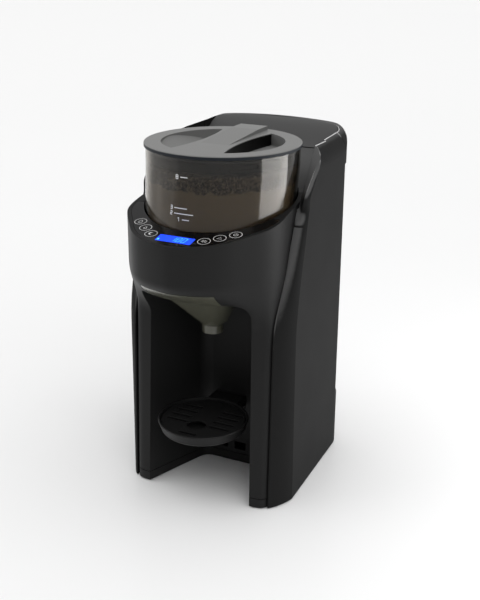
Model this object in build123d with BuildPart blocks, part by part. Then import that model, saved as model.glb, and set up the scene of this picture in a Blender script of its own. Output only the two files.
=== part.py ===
"""Countertop baby formula maker: powder container on top, bottle bay in front, water tank behind.

Frame: +Z up, the front faces -Y, origin under the middle of the machine on the surface it stands on.
Millimetres throughout.
"""
import os
from math import acos, cos, pi, sin, tan

from build123d import *

os.makedirs("parts", exist_ok=True)

# ---------------------------------------------------------------- overall size
FRONT_Y = -135.0          # nose of the head
BACK_Y = 135.0            # back of the water tank
HEIGHT = 388.0            # rim behind the powder container
HALF_W_FRONT = 98.0       # half width where the casing is widest
HALF_W_BACK = 93.5        # half width where the rear corners start
WIDEST_Y = -38.0
REAR_CORNER = 36.0        # plan radius of the rear corners
ROOF_EDGE = 26.0          # radius between the roof rim and the sides
ROOF_RISE = 0.0125        # rise of the roof rim per mm towards the back
ROOF_CROWN = 5.5          # how much higher the roof is in the middle than at the sides
WALL = 2.8                # moulded wall
FAR = 300.0               # larger than the machine is wide or deep, for cutting blocks
SEAM = 0.4                # gap at a seam between two mouldings
FLAT_CROSSING = 0.5       # how far the nose's curve runs out through the flat of the side
END_PULL = 0.5            # how strongly the ends of the housing's front curve hold their direction

# ---------------------------------------------------------------- base
FOOT_H = 1.5
BASE_TOP_Z = 12.0

# ---------------------------------------------------------------- legs and bottle bay
LEG_NOSE_Y = -73.4        # front of the legs at the floor
LEAN = 0.04               # how far the legs' fronts lean back per mm of height
LEG_HALF_W = 80.9
CHIN_LOW_Z = 202.0        # where the legs start to sweep forward into the head
CHIN_HIGH_Z = 264.0       # where the head has its full depth
BAY_FRONT_HALF_W = 62.0
BAY_BACK_HALF_W = 33.0
BAY_BACK_Y = 9.0
BAY_CORNER = 15.0
BAY_CEILING_Z = 238.0
BAY_ARCH = 20.0
BAY_LINER = 2.4

# ---------------------------------------------------------------- head
HEAD_HALF_W = 84.3
HEAD_SIDE_Y = -32.0       # where the bow front meets the casing
HEAD_LOW_Z = 290.0        # a level under the panel's lowest point
HEAD_TOP_Z = 350.0
HOUSING_BACK_Y = 14.0
PANEL_SLOPE = 0.2         # rise of the panel plane per mm towards the back
PANEL_Z_AT_0 = 329.3      # height of the panel plane over the origin
HEAD_LIP = 3.0            # rounded lip round the panel
PANEL_T = 1.6
PANEL_END_Y = -50.0
LCD_HALF_W = 19.5
LCD_Y = (-122.3, -109.6)
BOARD_T = 1.6
BOARD_BACK_Y = -80.0
SPACER_L = 1.8            # gap between the circuit board and the head's roof

# ---------------------------------------------------------------- powder container and lid
LID_Y = -12.0
LID_R = 81.6
LID_TOP_Z = 384.0
LID_FLANGE = 3.8
HOPPER_TOP_R = 80.0
HOPPER_FOOT_R = 78.0
HOPPER_FOOT_Y = -20.0     # the container's foot stands ahead of its mouth
HOPPER_FOOT_Z = 303.0
HOPPER_STRAIGHT_Z = 362.0
HOPPER_RIM_Z = LID_TOP_Z - LID_FLANGE - 0.3
HOPPER_WALL = 2.2
HOPPER_FLOOR = 3.0
SKIRT_R = 76.5
SKIRT_WALL = 2.6
SKIRT_LOW_Z = 366.0
SEAL_Z = 377.4
SEAL_R = 0.8
LUG_Z = 370.6
LUG_H = 3.0
LUG_W = 6.0
LUG_ANGLE = -62.0
BAR_HALF_W = 22.0         # grip bar between the finger recesses, at its waist
BAR_END_HALF_W = 29.0
SCOOP_R = 64.0
SCOOP_DEPTH = 13.0
PAD_HALF_W = 16.0         # thumb pad at the back of the bar
PAD_H = 4.0
PAD_FRONT_Y, PAD_BACK_Y = LID_Y + 52, LID_Y + 76
RAMP_FRONT_Y = LID_Y - 20

# ---------------------------------------------------------------- funnel
SPOUT_Y = -36.6
SPOUT_R = 11.4
SPOUT_TIP_Z = 182.5
NOTCH_TOP_Z = 253.5       # opening in the chin that the funnel slides out of
NOTCH_HALF_W = 41.6
NOTCH_FROM_Y = 92.0       # how far in front of the origin the opening starts
FLANGE_HALF_W = 41.0      # the funnel's flange rides on the edges of the slot in the bay's ceiling
SLOT_HALF_W = 38.8
FLANGE_T = 2.4
SLOT_BACK_Y = -9.0
BOWL_HALF_W = 38.2
BOWL_Y = (-97.0, -12.0)
BOWL_CORNER = 28.0
BOWL_TURN_Z = 236.0       # where the bowl's upright wall turns into its cone
CONE_FOOT_R = 16.5
CONE_FOOT_Z = 196.0
FUNNEL_WALL = 2.0

GUIDE_Y = (-88.0, -6.0)
GUIDE_WALL = 3.0
NOZZLE_X = 22.0
NOZZLE_R = 4.0
NOZZLE_L = 16.0

# ---------------------------------------------------------------- tank bay
TANK_FRONT_Y = 102.0
TANK_FLOOR_Z = 66.0
TANK_TOP_Z = 346.0
TANK_INSET = 2.5          # the tank stands in from the casing above and below it
TANK_WALL = 2.4
TANK_FLOOR_T = 3.0
TANK_PLAY = 0.4           # the tank stands this far above its dock and behind the walls
LID_SPLIT_Z = 346.5       # bottom of the tank's lid
VALVE_Y = 118.0
VALVE_DISC_R = 7.5
VALVE_STEM_R = 1.7
VALVE_FOOT_Z = 60.0
OUTLET_LOW_Z = 58.0       # bottom of the tank's outlet collar
OUTLET_COLLAR_R = 8.0
OUTLET_BORE_R = 5.6
SPRING_Z = 61.4
SPRING_R = 2.9
SPRING_H = 4.4
DOCK_LOW_Z = 62.0
DOCK_CUP_R = 11.0
DOCK_CUP_Z = 50.0
FLOAT_X = -55.0
FLOAT_Y = TANK_FRONT_Y + 7.6

# ---------------------------------------------------------------- roof dish between the wings
DISH_FRONT_HALF_W = 85.2
DISH_BACK_HALF_W = 80.2
DISH_BACK_Y = 131.0
DISH_CORNER = 26.0
DECK_FRONT_Y = 14.4
DECK_BACK_Y = 101.7

SIDE_OPEN_Z = 322.0       # the side walls are solid wings above this height
NOSE_FULLNESS = 0.6       # how far out the rounded nose of a side wall stands where it turns the corner

# ---------------------------------------------------------------- dosing drive
WHEEL_Y = HOPPER_FOOT_Y
OUTLET_Y = -70.0
GEAR_MODULE = 2.0
GEAR_TEETH = 36
PINION_TEETH = 12
GEAR_Z = 284.0
GEAR_T = 8.0
MOTOR_Y = WHEEL_Y + GEAR_MODULE * (GEAR_TEETH + PINION_TEETH) / 2
DRIVE_DECK_Z = 299.7
DRIVE_DECK_FRONT_Y = -91.0

BRACKET_Z = 272.0
BRACKET_T = 3.0
DECK_T = 3.0
SHAFT_R = 4.0
BUSH_R = 7.0
DOG_R = 4.0               # corner radius of the six-sided dog that turns the wheel
MOTOR_R = 14.0
MOTOR_L = 34.0
CHUTE_R = 9.0
CHUTE_WALL = 1.5
CHUTE_LOW_Z = 254.6
PRESSURE_ANGLE = 20 * pi / 180
BACKLASH = 0.35
WHEEL_R = 60.0
WHEEL_T = 10.0
WHEEL_BOSS_R = 8.0
POCKETS = 8
POCKET_R = 8.5
STIRRER_R = 52.0

# ---------------------------------------------------------------- drip tray
TRAY_Y = -60.4
TRAY_R = 49.4
TRAY_TOP_Z = 89.6
TRAY_H = 12.6
TRAY_WALL = 2.2
GRILLE_R = 46.0
GRILLE_Z = 85.0
GRILLE_T = 2.2
GRILLE_HOLE_Y = -76.0
GRILLE_HOLE_R = 10.5
GRILLE_SLOTS_Y = (-73.6, -62.0, -50.0, -38.0)
GRILLE_FRONT_Y = -97.3
TAB_L = 4.4
HOOK_X = (5.0, 18.0)
HOOK_LEVELS = (77.0, 49.5, 22.0)
WINDOW_H = 9.6            # height of the windows that the hooks enter

# ---------------------------------------------------------------- water path inside
HEATER_X, HEATER_Y, HEATER_Z = 45.0, 62.0, 40.0
HEATER_R = 20.0
HEATER_H = 130.0
HEATER_ROD_R = 3.0        # feet and outlet of the heater
PUMP_X, PUMP_Y, PUMP_Z = -45.0, 58.0, 9.0
PUMP_FOOT = (36.0, 50.0)
PUMP_AXIS_Z = PUMP_Z + 19.0
PUMP_MOTOR_R = 15.5

PANEL_PLANE = Plane(origin=(0, 0, PANEL_Z_AT_0), x_dir=(1, 0, 0), z_dir=(0, -PANEL_SLOPE, 1))
TAPER = (HALF_W_FRONT - HALF_W_BACK) / (BACK_Y - REAR_CORNER - WIDEST_Y)


def side_x(y: float) -> float:
    """Half width of the casing at a given depth."""
    return HALF_W_FRONT - TAPER * (y - WIDEST_Y)


def blend(low: float, high: float, s: float) -> float:
    """Value part of the way from low to high."""
    return low + (high - low) * s


def chin(z: float) -> float:
    """0 on the legs, 1 on the head, an S-curve between."""
    t = min(max((z - CHIN_LOW_Z) / (CHIN_HIGH_Z - CHIN_LOW_Z), 0.0), 1.0)
    return t * t * (3 - 2 * t)


def housing_half_w(z: float) -> float:
    """Half width of the front housing, and so of the seam beside it."""
    return blend(LEG_HALF_W, HEAD_HALF_W, chin(z))


def write(part: Part, name: str) -> None:
    """Label a finished piece and save it."""
    part.label = name
    export_step(part, f"parts/{name}.step")


# ================================================================ forms that several mouldings share
def front_points(z: float, inset: float) -> list:
    """Right half of the front housing's outline at a height, from the seam to the middle."""
    s = chin(z)
    nose = LEG_NOSE_Y + LEAN * z
    leg = [(LEG_HALF_W, nose + 9), (77.5, nose + 3.2), (69, nose), (35, nose - 0.3), (0, nose - 0.4)]
    bow = [(HEAD_HALF_W, HEAD_SIDE_Y), (83.2, -64), (68.2, -90.5), (38, -122.3), (0, FRONT_Y + 2)]
    points = []
    for (leg_x, leg_y), (bow_x, bow_y) in zip(leg, bow):
        x, y = blend(leg_x, bow_x, s), blend(leg_y, bow_y, s)
        points.append((x - inset * min(1, x / 60), y + inset))
    return points


def housing_section(z: float, inset: float, back_y: float, place_z: float = None) -> Sketch:
    """Closed outline that the front housing has at a height, laid at that height or at another."""
    half = front_points(z, inset)
    side, side_y = half[0]
    with BuildSketch(Plane.XY.offset(z if place_z is None else place_z), mode=Mode.PRIVATE) as section:
        with BuildLine():
            for turn in (1, -1):
                curve = [(turn * x, y) for x, y in half]
                Spline(*curve, tangents=[(0, -1), (-turn, 0)], tangent_scalars=[END_PULL, END_PULL])
            Polyline((-side, side_y), (-side, back_y), (side, back_y), (side, side_y))
        make_face()
    return section.sketch


def housing_form(inset: float, low_z: float, back_y: float) -> Part:
    """Legs, swept chin and head as one solid."""
    steps = 6
    with BuildPart(mode=Mode.PRIVATE) as legs:
        add(housing_section(low_z, inset, back_y))
        add(housing_section(CHIN_LOW_Z, inset, back_y))
        loft(ruled=True)
    with BuildPart(mode=Mode.PRIVATE) as sweep_up:
        for i in range(steps + 1):
            add(housing_section(blend(CHIN_LOW_Z, CHIN_HIGH_Z, i / steps), inset, back_y))
        loft()
    with BuildPart(mode=Mode.PRIVATE) as head:
        add(housing_section(CHIN_HIGH_Z, inset, back_y))
        extrude(amount=HEAD_TOP_Z - CHIN_HIGH_Z)
    with BuildPart(mode=Mode.PRIVATE) as form:
        add(legs.part)
        add(sweep_up.part)
        add(head.part)
    return form.part


def bay_form(grow: float) -> Part:
    """Room for the bottle: the plan narrows to the back, with rounded corners and a rounded ceiling."""
    mouth_y = LEG_NOSE_Y - 80
    taper = (BAY_FRONT_HALF_W - BAY_BACK_HALF_W) / (BAY_BACK_Y - LEG_NOSE_Y)
    mouth_w = BAY_FRONT_HALF_W + taper * 80 + grow
    back_w = BAY_BACK_HALF_W + grow
    back_y = BAY_BACK_Y + grow
    with BuildPart(mode=Mode.PRIVATE) as bay:
        with BuildSketch(Plane.XY.offset(-10)):
            with BuildLine():
                Polyline(
                    (-mouth_w, mouth_y), (mouth_w, mouth_y), (back_w, back_y), (-back_w, back_y), close=True,
                )
            make_face()
        extrude(amount=BAY_CEILING_Z + grow + 10)
        fillet(bay.edges().filter_by(Axis.Z).group_by(Axis.Y)[-1], BAY_CORNER + grow)
        rim = bay.faces().sort_by(Axis.Z)[-1].edges()
        fillet([edge for edge in rim if edge.center().Y > mouth_y + 1], BAY_ARCH)
    return bay.part


def outer_plan(inset: float) -> Sketch:
    """Plan of the casing: straight tapering sides and rounded rear corners."""
    front_y = FRONT_Y - 15
    front_w, back_w = side_x(front_y) - inset, side_x(BACK_Y) - inset
    back_y = BACK_Y - inset
    with BuildSketch(mode=Mode.PRIVATE) as plan:
        with BuildLine():
            Polyline(
                (-front_w, front_y), (-back_w, back_y), (back_w, back_y), (front_w, front_y), close=True,
            )
        make_face()
        fillet(plan.vertices().group_by(Axis.Y)[-1], REAR_CORNER - inset)
    return plan.sketch


def plan_block(inset: float, low_z: float, top_z: float, front_y: float, back_y: float) -> Part:
    """Block with the casing's plan, cut off between two depths."""
    with BuildPart(mode=Mode.PRIVATE) as block:
        with BuildSketch(Plane.XY.offset(low_z)):
            add(outer_plan(inset))
        extrude(amount=top_z - low_z)
        with BuildSketch(Plane.XY.offset(low_z)):
            with Locations((0, (front_y + back_y) / 2)):
                Rectangle(4 * HALF_W_FRONT, back_y - front_y)
        extrude(amount=top_z - low_z, mode=Mode.INTERSECT)
    return block.part


def roof_section(y: float, low_z: float) -> Sketch:
    """Upright cross-section of the casing at a depth, with the soft edge where the sides meet the roof."""
    half_w = side_x(y)
    crown_z = HEIGHT - ROOF_RISE * (BACK_Y - y)
    side_z = crown_z - ROOF_CROWN
    with BuildSketch(Plane.XZ.offset(-y), mode=Mode.PRIVATE) as section:
        with BuildLine():
            Polyline((-half_w, side_z), (-half_w, low_z), (half_w, low_z), (half_w, side_z))
            ThreePointArc((half_w, side_z), (0, crown_z), (-half_w, side_z))
        make_face()
        fillet(section.vertices().group_by(Axis.Y)[-1], ROOF_EDGE)
    return section.sketch


def envelope(low_z: float, front_y: float) -> Part:
    """Outer form of the casing behind front_y: tapering sides, soft roof edge and rounded rear corners."""
    lean = 2.5 * TAPER
    corner_y = BACK_Y - REAR_CORNER
    front_w = side_x(corner_y) + lean * (corner_y - FRONT_Y)
    back_w = side_x(corner_y) - lean * REAR_CORNER
    with BuildPart(mode=Mode.PRIVATE) as form:
        add(roof_section(front_y, low_z))
        add(roof_section(BACK_Y + 5, low_z))
        loft(ruled=True)
        with BuildSketch(Plane.XY.offset(low_z)) as plan:
            with BuildLine():
                Polyline(
                    (-front_w, FRONT_Y), (-back_w, BACK_Y), (back_w, BACK_Y), (front_w, FRONT_Y), close=True,
                )
            make_face()
            fillet(plan.vertices().group_by(Axis.Y)[-1], REAR_CORNER)
        extrude(amount=HEIGHT - low_z, mode=Mode.INTERSECT)
    return form.part


def ramp(z: float, start: float, length: float) -> float:
    """0 below start, then bending smoothly into a rise of 1 mm per mm."""
    t = max(z - start, 0.0)
    return t * t / (2 * length) if t < length else t - length / 2


def wall_front(z: float) -> tuple:
    """Right side wall's front at a height: seam point, nose point and start of its flat side."""
    seam = (housing_half_w(z) + SEAM, -68.3 + 0.034 * z + 0.36 * ramp(z, 185, 40) + 0.38 * ramp(z, 308, 20))
    opened = min(max((z - 304) / 30, 0.0), 1.0)
    opened = opened * opened * (3 - 2 * opened)
    nose_y = blend(seam[1], -17.0 + 1.2 * ramp(z, 328, 12), opened)
    nose = (seam[0] + blend(1.5, 7.9, opened), nose_y)
    flat_y = -7.4 - 0.068 * z + 0.27 * ramp(z, 236, 40) + 0.55 * ramp(z, 308, 20)
    return seam, nose, (side_x(flat_y) + FLAT_CROSSING, flat_y)


def front_section(z: float, back_y: float) -> Sketch:
    """Right half of the space in front of and between the side walls at a height."""
    seam, nose, flat = wall_front(z)
    outside_x, ahead_y = flat[0] + 40, FRONT_Y - 40
    middle = (blend(nose[0], flat[0], NOSE_FULLNESS), blend(nose[1], flat[1], 0.2))
    with BuildSketch(Plane.XY.offset(z), mode=Mode.PRIVATE) as section:
        with BuildLine():
            Polyline((0, back_y), (seam[0], back_y), seam, nose)
            Spline(nose, middle, flat)
            Polyline(flat, (outside_x, flat[1]), (outside_x, ahead_y), (0, ahead_y), (0, back_y))
        make_face()
    return section.sketch


def front_space(back_y: float) -> Part:
    """Space in front of and between the side walls, lofted in three stretches of evenly divided levels."""
    with BuildPart(mode=Mode.PRIVATE) as right:
        for low_z, top_z, steps in ((0, 185, 3), (185, 305, 8), (305, 395, 10)):
            with BuildPart(mode=Mode.PRIVATE) as stretch:
                for i in range(steps + 1):
                    add(front_section(blend(low_z, top_z, i / steps), back_y))
                loft()
            add(stretch.part)
        mirror(about=Plane.YZ)
    return right.part


def nose_hollow_section(z: float, back_y: float, wall: float = WALL) -> Sketch:
    """Hollow inside the right side wall's nose at a height, open towards the middle."""
    seam, nose, flat = wall_front(z)
    start = (seam[0] - 8, seam[1] + 1.8 * wall)
    tip = (nose[0] - 0.4 * wall, nose[1] + 1.6 * wall)
    middle = (blend(nose[0], flat[0], NOSE_FULLNESS) - wall, blend(nose[1], flat[1], 0.2) + 0.8 * wall)
    end = (side_x(flat[1]) - wall, flat[1])
    with BuildSketch(Plane.XY.offset(z), mode=Mode.PRIVATE) as section:
        with BuildLine():
            Line(start, tip)
            Spline(tip, middle, end)
            Polyline(end, (side_x(back_y) - wall, back_y), (start[0], back_y), start)
        make_face()
    return section.sketch


def nose_hollow(back_y: float) -> Part:
    """Both noses' hollows, up to where the wings start."""
    with BuildPart(mode=Mode.PRIVATE) as right:
        for low_z, top_z, steps in ((0, 185, 3), (185, 321, 8)):
            with BuildPart(mode=Mode.PRIVATE) as stretch:
                for i in range(steps + 1):
                    add(nose_hollow_section(blend(low_z, top_z, i / steps), back_y))
                loft()
            add(stretch.part)
        mirror(about=Plane.YZ)
        add(plan_block(WALL, 0, HEIGHT, FRONT_Y, BACK_Y), mode=Mode.INTERSECT)
    return right.part


def under_deck(depth: float) -> Part:
    """Everything below the roof dish's floor, less a depth measured straight down."""
    reach = 2 * HALF_W_FRONT
    front = (FRONT_Y, PANEL_Z_AT_0 + PANEL_SLOPE * FRONT_Y - depth)
    start = (DECK_FRONT_Y, PANEL_Z_AT_0 + PANEL_SLOPE * DECK_FRONT_Y - depth)
    crest = (DISH_BACK_Y, HEIGHT - 0.5 - depth)
    back = (BACK_Y + 20, HEIGHT + 2 - depth)
    with BuildPart(mode=Mode.PRIVATE) as space:
        with BuildSketch(Plane.YZ):
            with BuildLine():
                Polyline((back[0], -20), (front[0], -20), front, start)
                Spline(
                    start, (70, 346 - depth), (102, 360.5 - depth), (120, 381.5 - depth), crest,
                    tangents=[(1, PANEL_SLOPE), (1, 0.15)],
                )
                Polyline(crest, back, (back[0], -20))
            make_face()
        extrude(amount=reach, both=True)
    return space.part


def dish_block(inset: float, low_z: float, front_y: float, back_y: float) -> Part:
    """Upright block with the roof dish's plan, which narrows to the back and has rounded rear corners."""
    taper = (DISH_FRONT_HALF_W - DISH_BACK_HALF_W) / (BACK_Y - DECK_FRONT_Y)
    with BuildPart(mode=Mode.PRIVATE) as block:
        with BuildSketch(Plane.XY.offset(low_z)) as plan:
            front_w = DISH_FRONT_HALF_W - inset - taper * (front_y - DECK_FRONT_Y)
            back_w = DISH_BACK_HALF_W - inset
            deep_y = DISH_BACK_Y - inset
            with BuildLine():
                Polyline(
                    (-front_w, front_y), (-back_w, deep_y), (back_w, deep_y), (front_w, front_y), close=True,
                )
            make_face()
            fillet(plan.vertices().group_by(Axis.Y)[-1], DISH_CORNER)
            if back_y < deep_y:
                with Locations((0, back_y + BACK_Y)):
                    Rectangle(4 * HALF_W_FRONT, 2 * BACK_Y, mode=Mode.SUBTRACT)
        extrude(amount=HEIGHT + 20 - low_z)
    return block.part


def hopper_form(grow: float, low_z: float) -> Part:
    """Oblique round form of the powder container, from its foot to its mouth."""
    lean = (LID_Y - HOPPER_FOOT_Y) / (HOPPER_STRAIGHT_Z - HOPPER_FOOT_Z)
    flare = (HOPPER_TOP_R - HOPPER_FOOT_R) / (HOPPER_STRAIGHT_Z - HOPPER_FOOT_Z)
    low_y = HOPPER_FOOT_Y + lean * (low_z - HOPPER_FOOT_Z)
    low_r = HOPPER_FOOT_R + flare * (low_z - HOPPER_FOOT_Z)
    with BuildPart(mode=Mode.PRIVATE) as form:
        with BuildSketch(Plane.XY.offset(low_z)):
            with Locations((0, low_y)):
                Circle(low_r + grow)
        with BuildSketch(Plane.XY.offset(HOPPER_STRAIGHT_Z)):
            with Locations((0, LID_Y)):
                Circle(HOPPER_TOP_R + grow)
        loft()
        with BuildSketch(Plane.XY.offset(HOPPER_STRAIGHT_Z)):
            with Locations((0, LID_Y)):
                Circle(HOPPER_TOP_R + grow)
        extrude(amount=HOPPER_RIM_Z - HOPPER_STRAIGHT_Z)
    return form.part


def head_block(inset: float, low_z: float, top_z: float, back_y: float) -> Part:
    """Upright block with the head's plan, cut off at a depth."""
    with BuildPart(mode=Mode.PRIVATE) as block:
        add(housing_section(CHIN_HIGH_Z, inset, HOUSING_BACK_Y, low_z))
        extrude(amount=top_z - low_z)
        split(bisect_by=Plane.XZ.offset(-back_y), keep=Keep.TOP)
    return block.part


WALL_SPACE = front_space(60.0)
HOUSING = housing_form(0.0, BASE_TOP_Z + SEAM, HOUSING_BACK_Y)
HOUSING_INSIDE = housing_form(WALL, 0.0, HOUSING_BACK_Y + 1)
WELL = hopper_form(1.3, HOPPER_FOOT_Z)
BELOW_DECK = under_deck(WALL)


# ================================================================ casing
with BuildPart() as casing_hollow:
    add(plan_block(WALL, 0, HEIGHT, 30, BACK_Y))
    add(BELOW_DECK, mode=Mode.INTERSECT)

with BuildPart() as outer_casing:
    add(envelope(FOOT_H, FRONT_Y + 25))
    add(WALL_SPACE, mode=Mode.SUBTRACT)
    add(nose_hollow(60.0), mode=Mode.SUBTRACT)
    # hollow behind the noses, under the deck
    add(casing_hollow.part, mode=Mode.SUBTRACT)
    add(dish_block(0, SIDE_OPEN_Z, FRONT_Y, BACK_Y), mode=Mode.SUBTRACT)
    # the walls end ahead of the tank
    with BuildSketch(Plane.XY.offset(TANK_FLOOR_Z)):
        with Locations((0, TANK_FRONT_Y + FAR / 2)):
            Rectangle(FAR, FAR)
    extrude(amount=HEIGHT, mode=Mode.SUBTRACT)
write(outer_casing.part, "outer_casing")

# ================================================================ base and feet
with BuildPart() as base_legs_hollow:
    add(housing_section(BASE_TOP_Z, WALL, HOUSING_BACK_Y, FOOT_H + WALL))
    extrude(amount=BASE_TOP_Z)
    add(bay_form(BAY_LINER), mode=Mode.SUBTRACT)

with BuildPart() as base_sides:
    with BuildSketch(Plane.XY.offset(FOOT_H)):
        add(nose_hollow_section(0, HOUSING_BACK_Y + 10, WALL + SEAM))
        mirror(about=Plane.YZ)
    extrude(amount=BASE_TOP_Z - SEAM - FOOT_H)
    add(plan_block(WALL + SEAM, FOOT_H, BASE_TOP_Z, FRONT_Y, BACK_Y), mode=Mode.INTERSECT)

with BuildPart() as base_cover:
    add(plan_block(WALL + SEAM, FOOT_H, BASE_TOP_Z - SEAM, HOUSING_BACK_Y, BACK_Y))
    add(base_sides.part)
    add(housing_section(BASE_TOP_Z, 0.0, HOUSING_BACK_Y + 1, FOOT_H))
    extrude(amount=BASE_TOP_Z - SEAM - FOOT_H)
    add(bay_form(0.0), mode=Mode.SUBTRACT)
    # hollow above the floor
    add(plan_block(2 * WALL, FOOT_H + WALL, BASE_TOP_Z, HOUSING_BACK_Y + WALL, BACK_Y), mode=Mode.SUBTRACT)
    add(base_legs_hollow.part, mode=Mode.SUBTRACT)
write(base_cover.part, "base_cover")

with BuildPart() as rubber_feet:
    with BuildSketch():
        with Locations((70, -58), (-70, -58), (74, 104), (-74, 104)):
            Circle(6.5)
    extrude(amount=FOOT_H)
    fillet(rubber_feet.edges().group_by(Axis.Z)[0], 0.6)
write(rubber_feet.part, "rubber_feet")

# ================================================================ front housing: legs, chin, head and bay
with BuildPart() as housing_inside:
    add(HOUSING_INSIDE)
    split(bisect_by=PANEL_PLANE.offset(-PANEL_T - WALL), keep=Keep.BOTTOM)
    add(bay_form(BAY_LINER), mode=Mode.SUBTRACT)

with BuildPart() as panel_recess:
    add(head_block(HEAD_LIP, HEAD_LOW_Z, HEAD_TOP_Z, PANEL_END_Y + SEAM))
    split(bisect_by=PANEL_PLANE.offset(-PANEL_T), keep=Keep.TOP)

with BuildPart() as front_housing:
    add(HOUSING)
    split(bisect_by=PANEL_PLANE, keep=Keep.BOTTOM)
    add(housing_inside.part, mode=Mode.SUBTRACT)
    add(bay_form(0.0), mode=Mode.SUBTRACT)
    add(WELL, mode=Mode.SUBTRACT)
    # opening in the chin that the funnel slides out of
    with BuildSketch(Plane.XZ.offset(NOTCH_FROM_Y)):
        with Locations((0, (BAY_CEILING_Z + NOTCH_TOP_Z) / 2)):
            Rectangle(2 * NOTCH_HALF_W, NOTCH_TOP_Z - BAY_CEILING_Z)
    extrude(amount=120, mode=Mode.SUBTRACT)
    # slot in the bay's ceiling
    with BuildSketch(Plane.XY.offset(BAY_CEILING_Z - 5)):
        with Locations((0, (SLOT_BACK_Y + FRONT_Y) / 2)):
            Rectangle(2 * SLOT_HALF_W, SLOT_BACK_Y - FRONT_Y)
    extrude(amount=BAY_LINER + 5.2, mode=Mode.SUBTRACT)
    # recess for the glass panel
    add(panel_recess.part, mode=Mode.SUBTRACT)
    # windows in the bay's back wall for the drip tray's hooks
    for level in HOOK_LEVELS:
        for side in (-1, 1):
            with BuildSketch(Plane.XZ.offset(-BAY_BACK_Y + 2)):
                with Locations((side * (HOOK_X[0] + HOOK_X[1]) / 2, level)):
                    Rectangle(HOOK_X[1] - HOOK_X[0] + 1.2, WINDOW_H)
            extrude(amount=-BAY_LINER - 3, mode=Mode.SUBTRACT)
write(front_housing.part, "front_housing")

with BuildPart() as control_panel:
    add(head_block(HEAD_LIP + 0.25, HEAD_LOW_Z, HEAD_TOP_Z, PANEL_END_Y))
    split(bisect_by=PANEL_PLANE.offset(-PANEL_T), keep=Keep.TOP)
    split(bisect_by=PANEL_PLANE.offset(-0.15), keep=Keep.BOTTOM)
    add(WELL, mode=Mode.SUBTRACT)
    with BuildSketch(Plane.XY.offset(HEAD_LOW_Z)):
        with Locations((0, sum(LCD_Y) / 2)):
            RectangleRounded(2 * LCD_HALF_W, LCD_Y[1] - LCD_Y[0], 1.2)
    extrude(amount=60, mode=Mode.SUBTRACT)
write(control_panel.part, "control_panel")

with BuildPart() as display_window:
    with BuildSketch(Plane.XY.offset(HEAD_LOW_Z)):
        with Locations((0, sum(LCD_Y) / 2)):
            RectangleRounded(2 * LCD_HALF_W - 0.3, LCD_Y[1] - LCD_Y[0] - 0.3, 1.1)
    extrude(amount=60)
    split(bisect_by=PANEL_PLANE.offset(-PANEL_T), keep=Keep.TOP)
    split(bisect_by=PANEL_PLANE.offset(-0.2), keep=Keep.BOTTOM)
write(display_window.part, "display_window")

BOARD_PLANE = PANEL_PLANE.offset(-PANEL_T - WALL)
with BuildPart() as panel_board:
    add(head_block(WALL + 4, HEAD_LOW_Z - 20, HEAD_TOP_Z, BOARD_BACK_Y))
    split(bisect_by=BOARD_PLANE.offset(-SPACER_L), keep=Keep.BOTTOM)
    split(bisect_by=BOARD_PLANE.offset(-SPACER_L - BOARD_T), keep=Keep.TOP)
    with BuildSketch(Plane.XY.offset(HEAD_LOW_Z - 20)):
        with Locations((0, HOPPER_FOOT_Y)):
            Circle(HOPPER_FOOT_R + 4)
    extrude(amount=80, mode=Mode.SUBTRACT)
    # spacers that hold the board under the head's roof
    with BuildSketch(BOARD_PLANE):
        with Locations((-44, -112.7), (44, -112.7)):
            Circle(2.5)
    extrude(amount=-SPACER_L)
write(panel_board.part, "panel_board")

# ================================================================ roof: deck, tank lid
with BuildPart() as top_deck:
    add(under_deck(0.0))
    add(BELOW_DECK, mode=Mode.SUBTRACT)
    add(dish_block(0.3, HEAD_LOW_Z, DECK_FRONT_Y, DECK_BACK_Y), mode=Mode.INTERSECT)
    with BuildSketch(Plane.XY.offset(HEAD_LOW_Z)):
        with Locations((0, (DECK_FRONT_Y + DECK_BACK_Y) / 2)):
            Rectangle(FAR, DECK_BACK_Y - DECK_FRONT_Y)
    extrude(amount=HEIGHT - HEAD_LOW_Z, mode=Mode.INTERSECT)
    add(WELL, mode=Mode.SUBTRACT)
write(top_deck.part, "top_deck")

with BuildPart() as lid_room:
    add(plan_block(TANK_WALL, LID_SPLIT_Z - 1, HEIGHT, TANK_FRONT_Y + 3, BACK_Y + 5))
    add(under_deck(TANK_WALL), mode=Mode.INTERSECT)
    add(Pos(0, 0, -TANK_WALL) * envelope(LID_SPLIT_Z - 10, FRONT_Y + 25), mode=Mode.INTERSECT)

with BuildPart() as lid_dish:
    add(dish_block(0, LID_SPLIT_Z, FRONT_Y, BACK_Y))
    add(under_deck(0.0), mode=Mode.SUBTRACT)

with BuildPart() as tank_lid:
    add(envelope(LID_SPLIT_Z, FRONT_Y + 25))
    with BuildSketch(Plane.XY.offset(LID_SPLIT_Z)):
        with Locations((0, TANK_FRONT_Y + 0.6 + FAR / 2)):
            Rectangle(FAR, FAR)
    extrude(amount=HEIGHT - LID_SPLIT_Z, mode=Mode.INTERSECT)
    add(lid_dish.part, mode=Mode.SUBTRACT)
    add(lid_room.part, mode=Mode.SUBTRACT)
write(tank_lid.part, "tank_lid")

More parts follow.
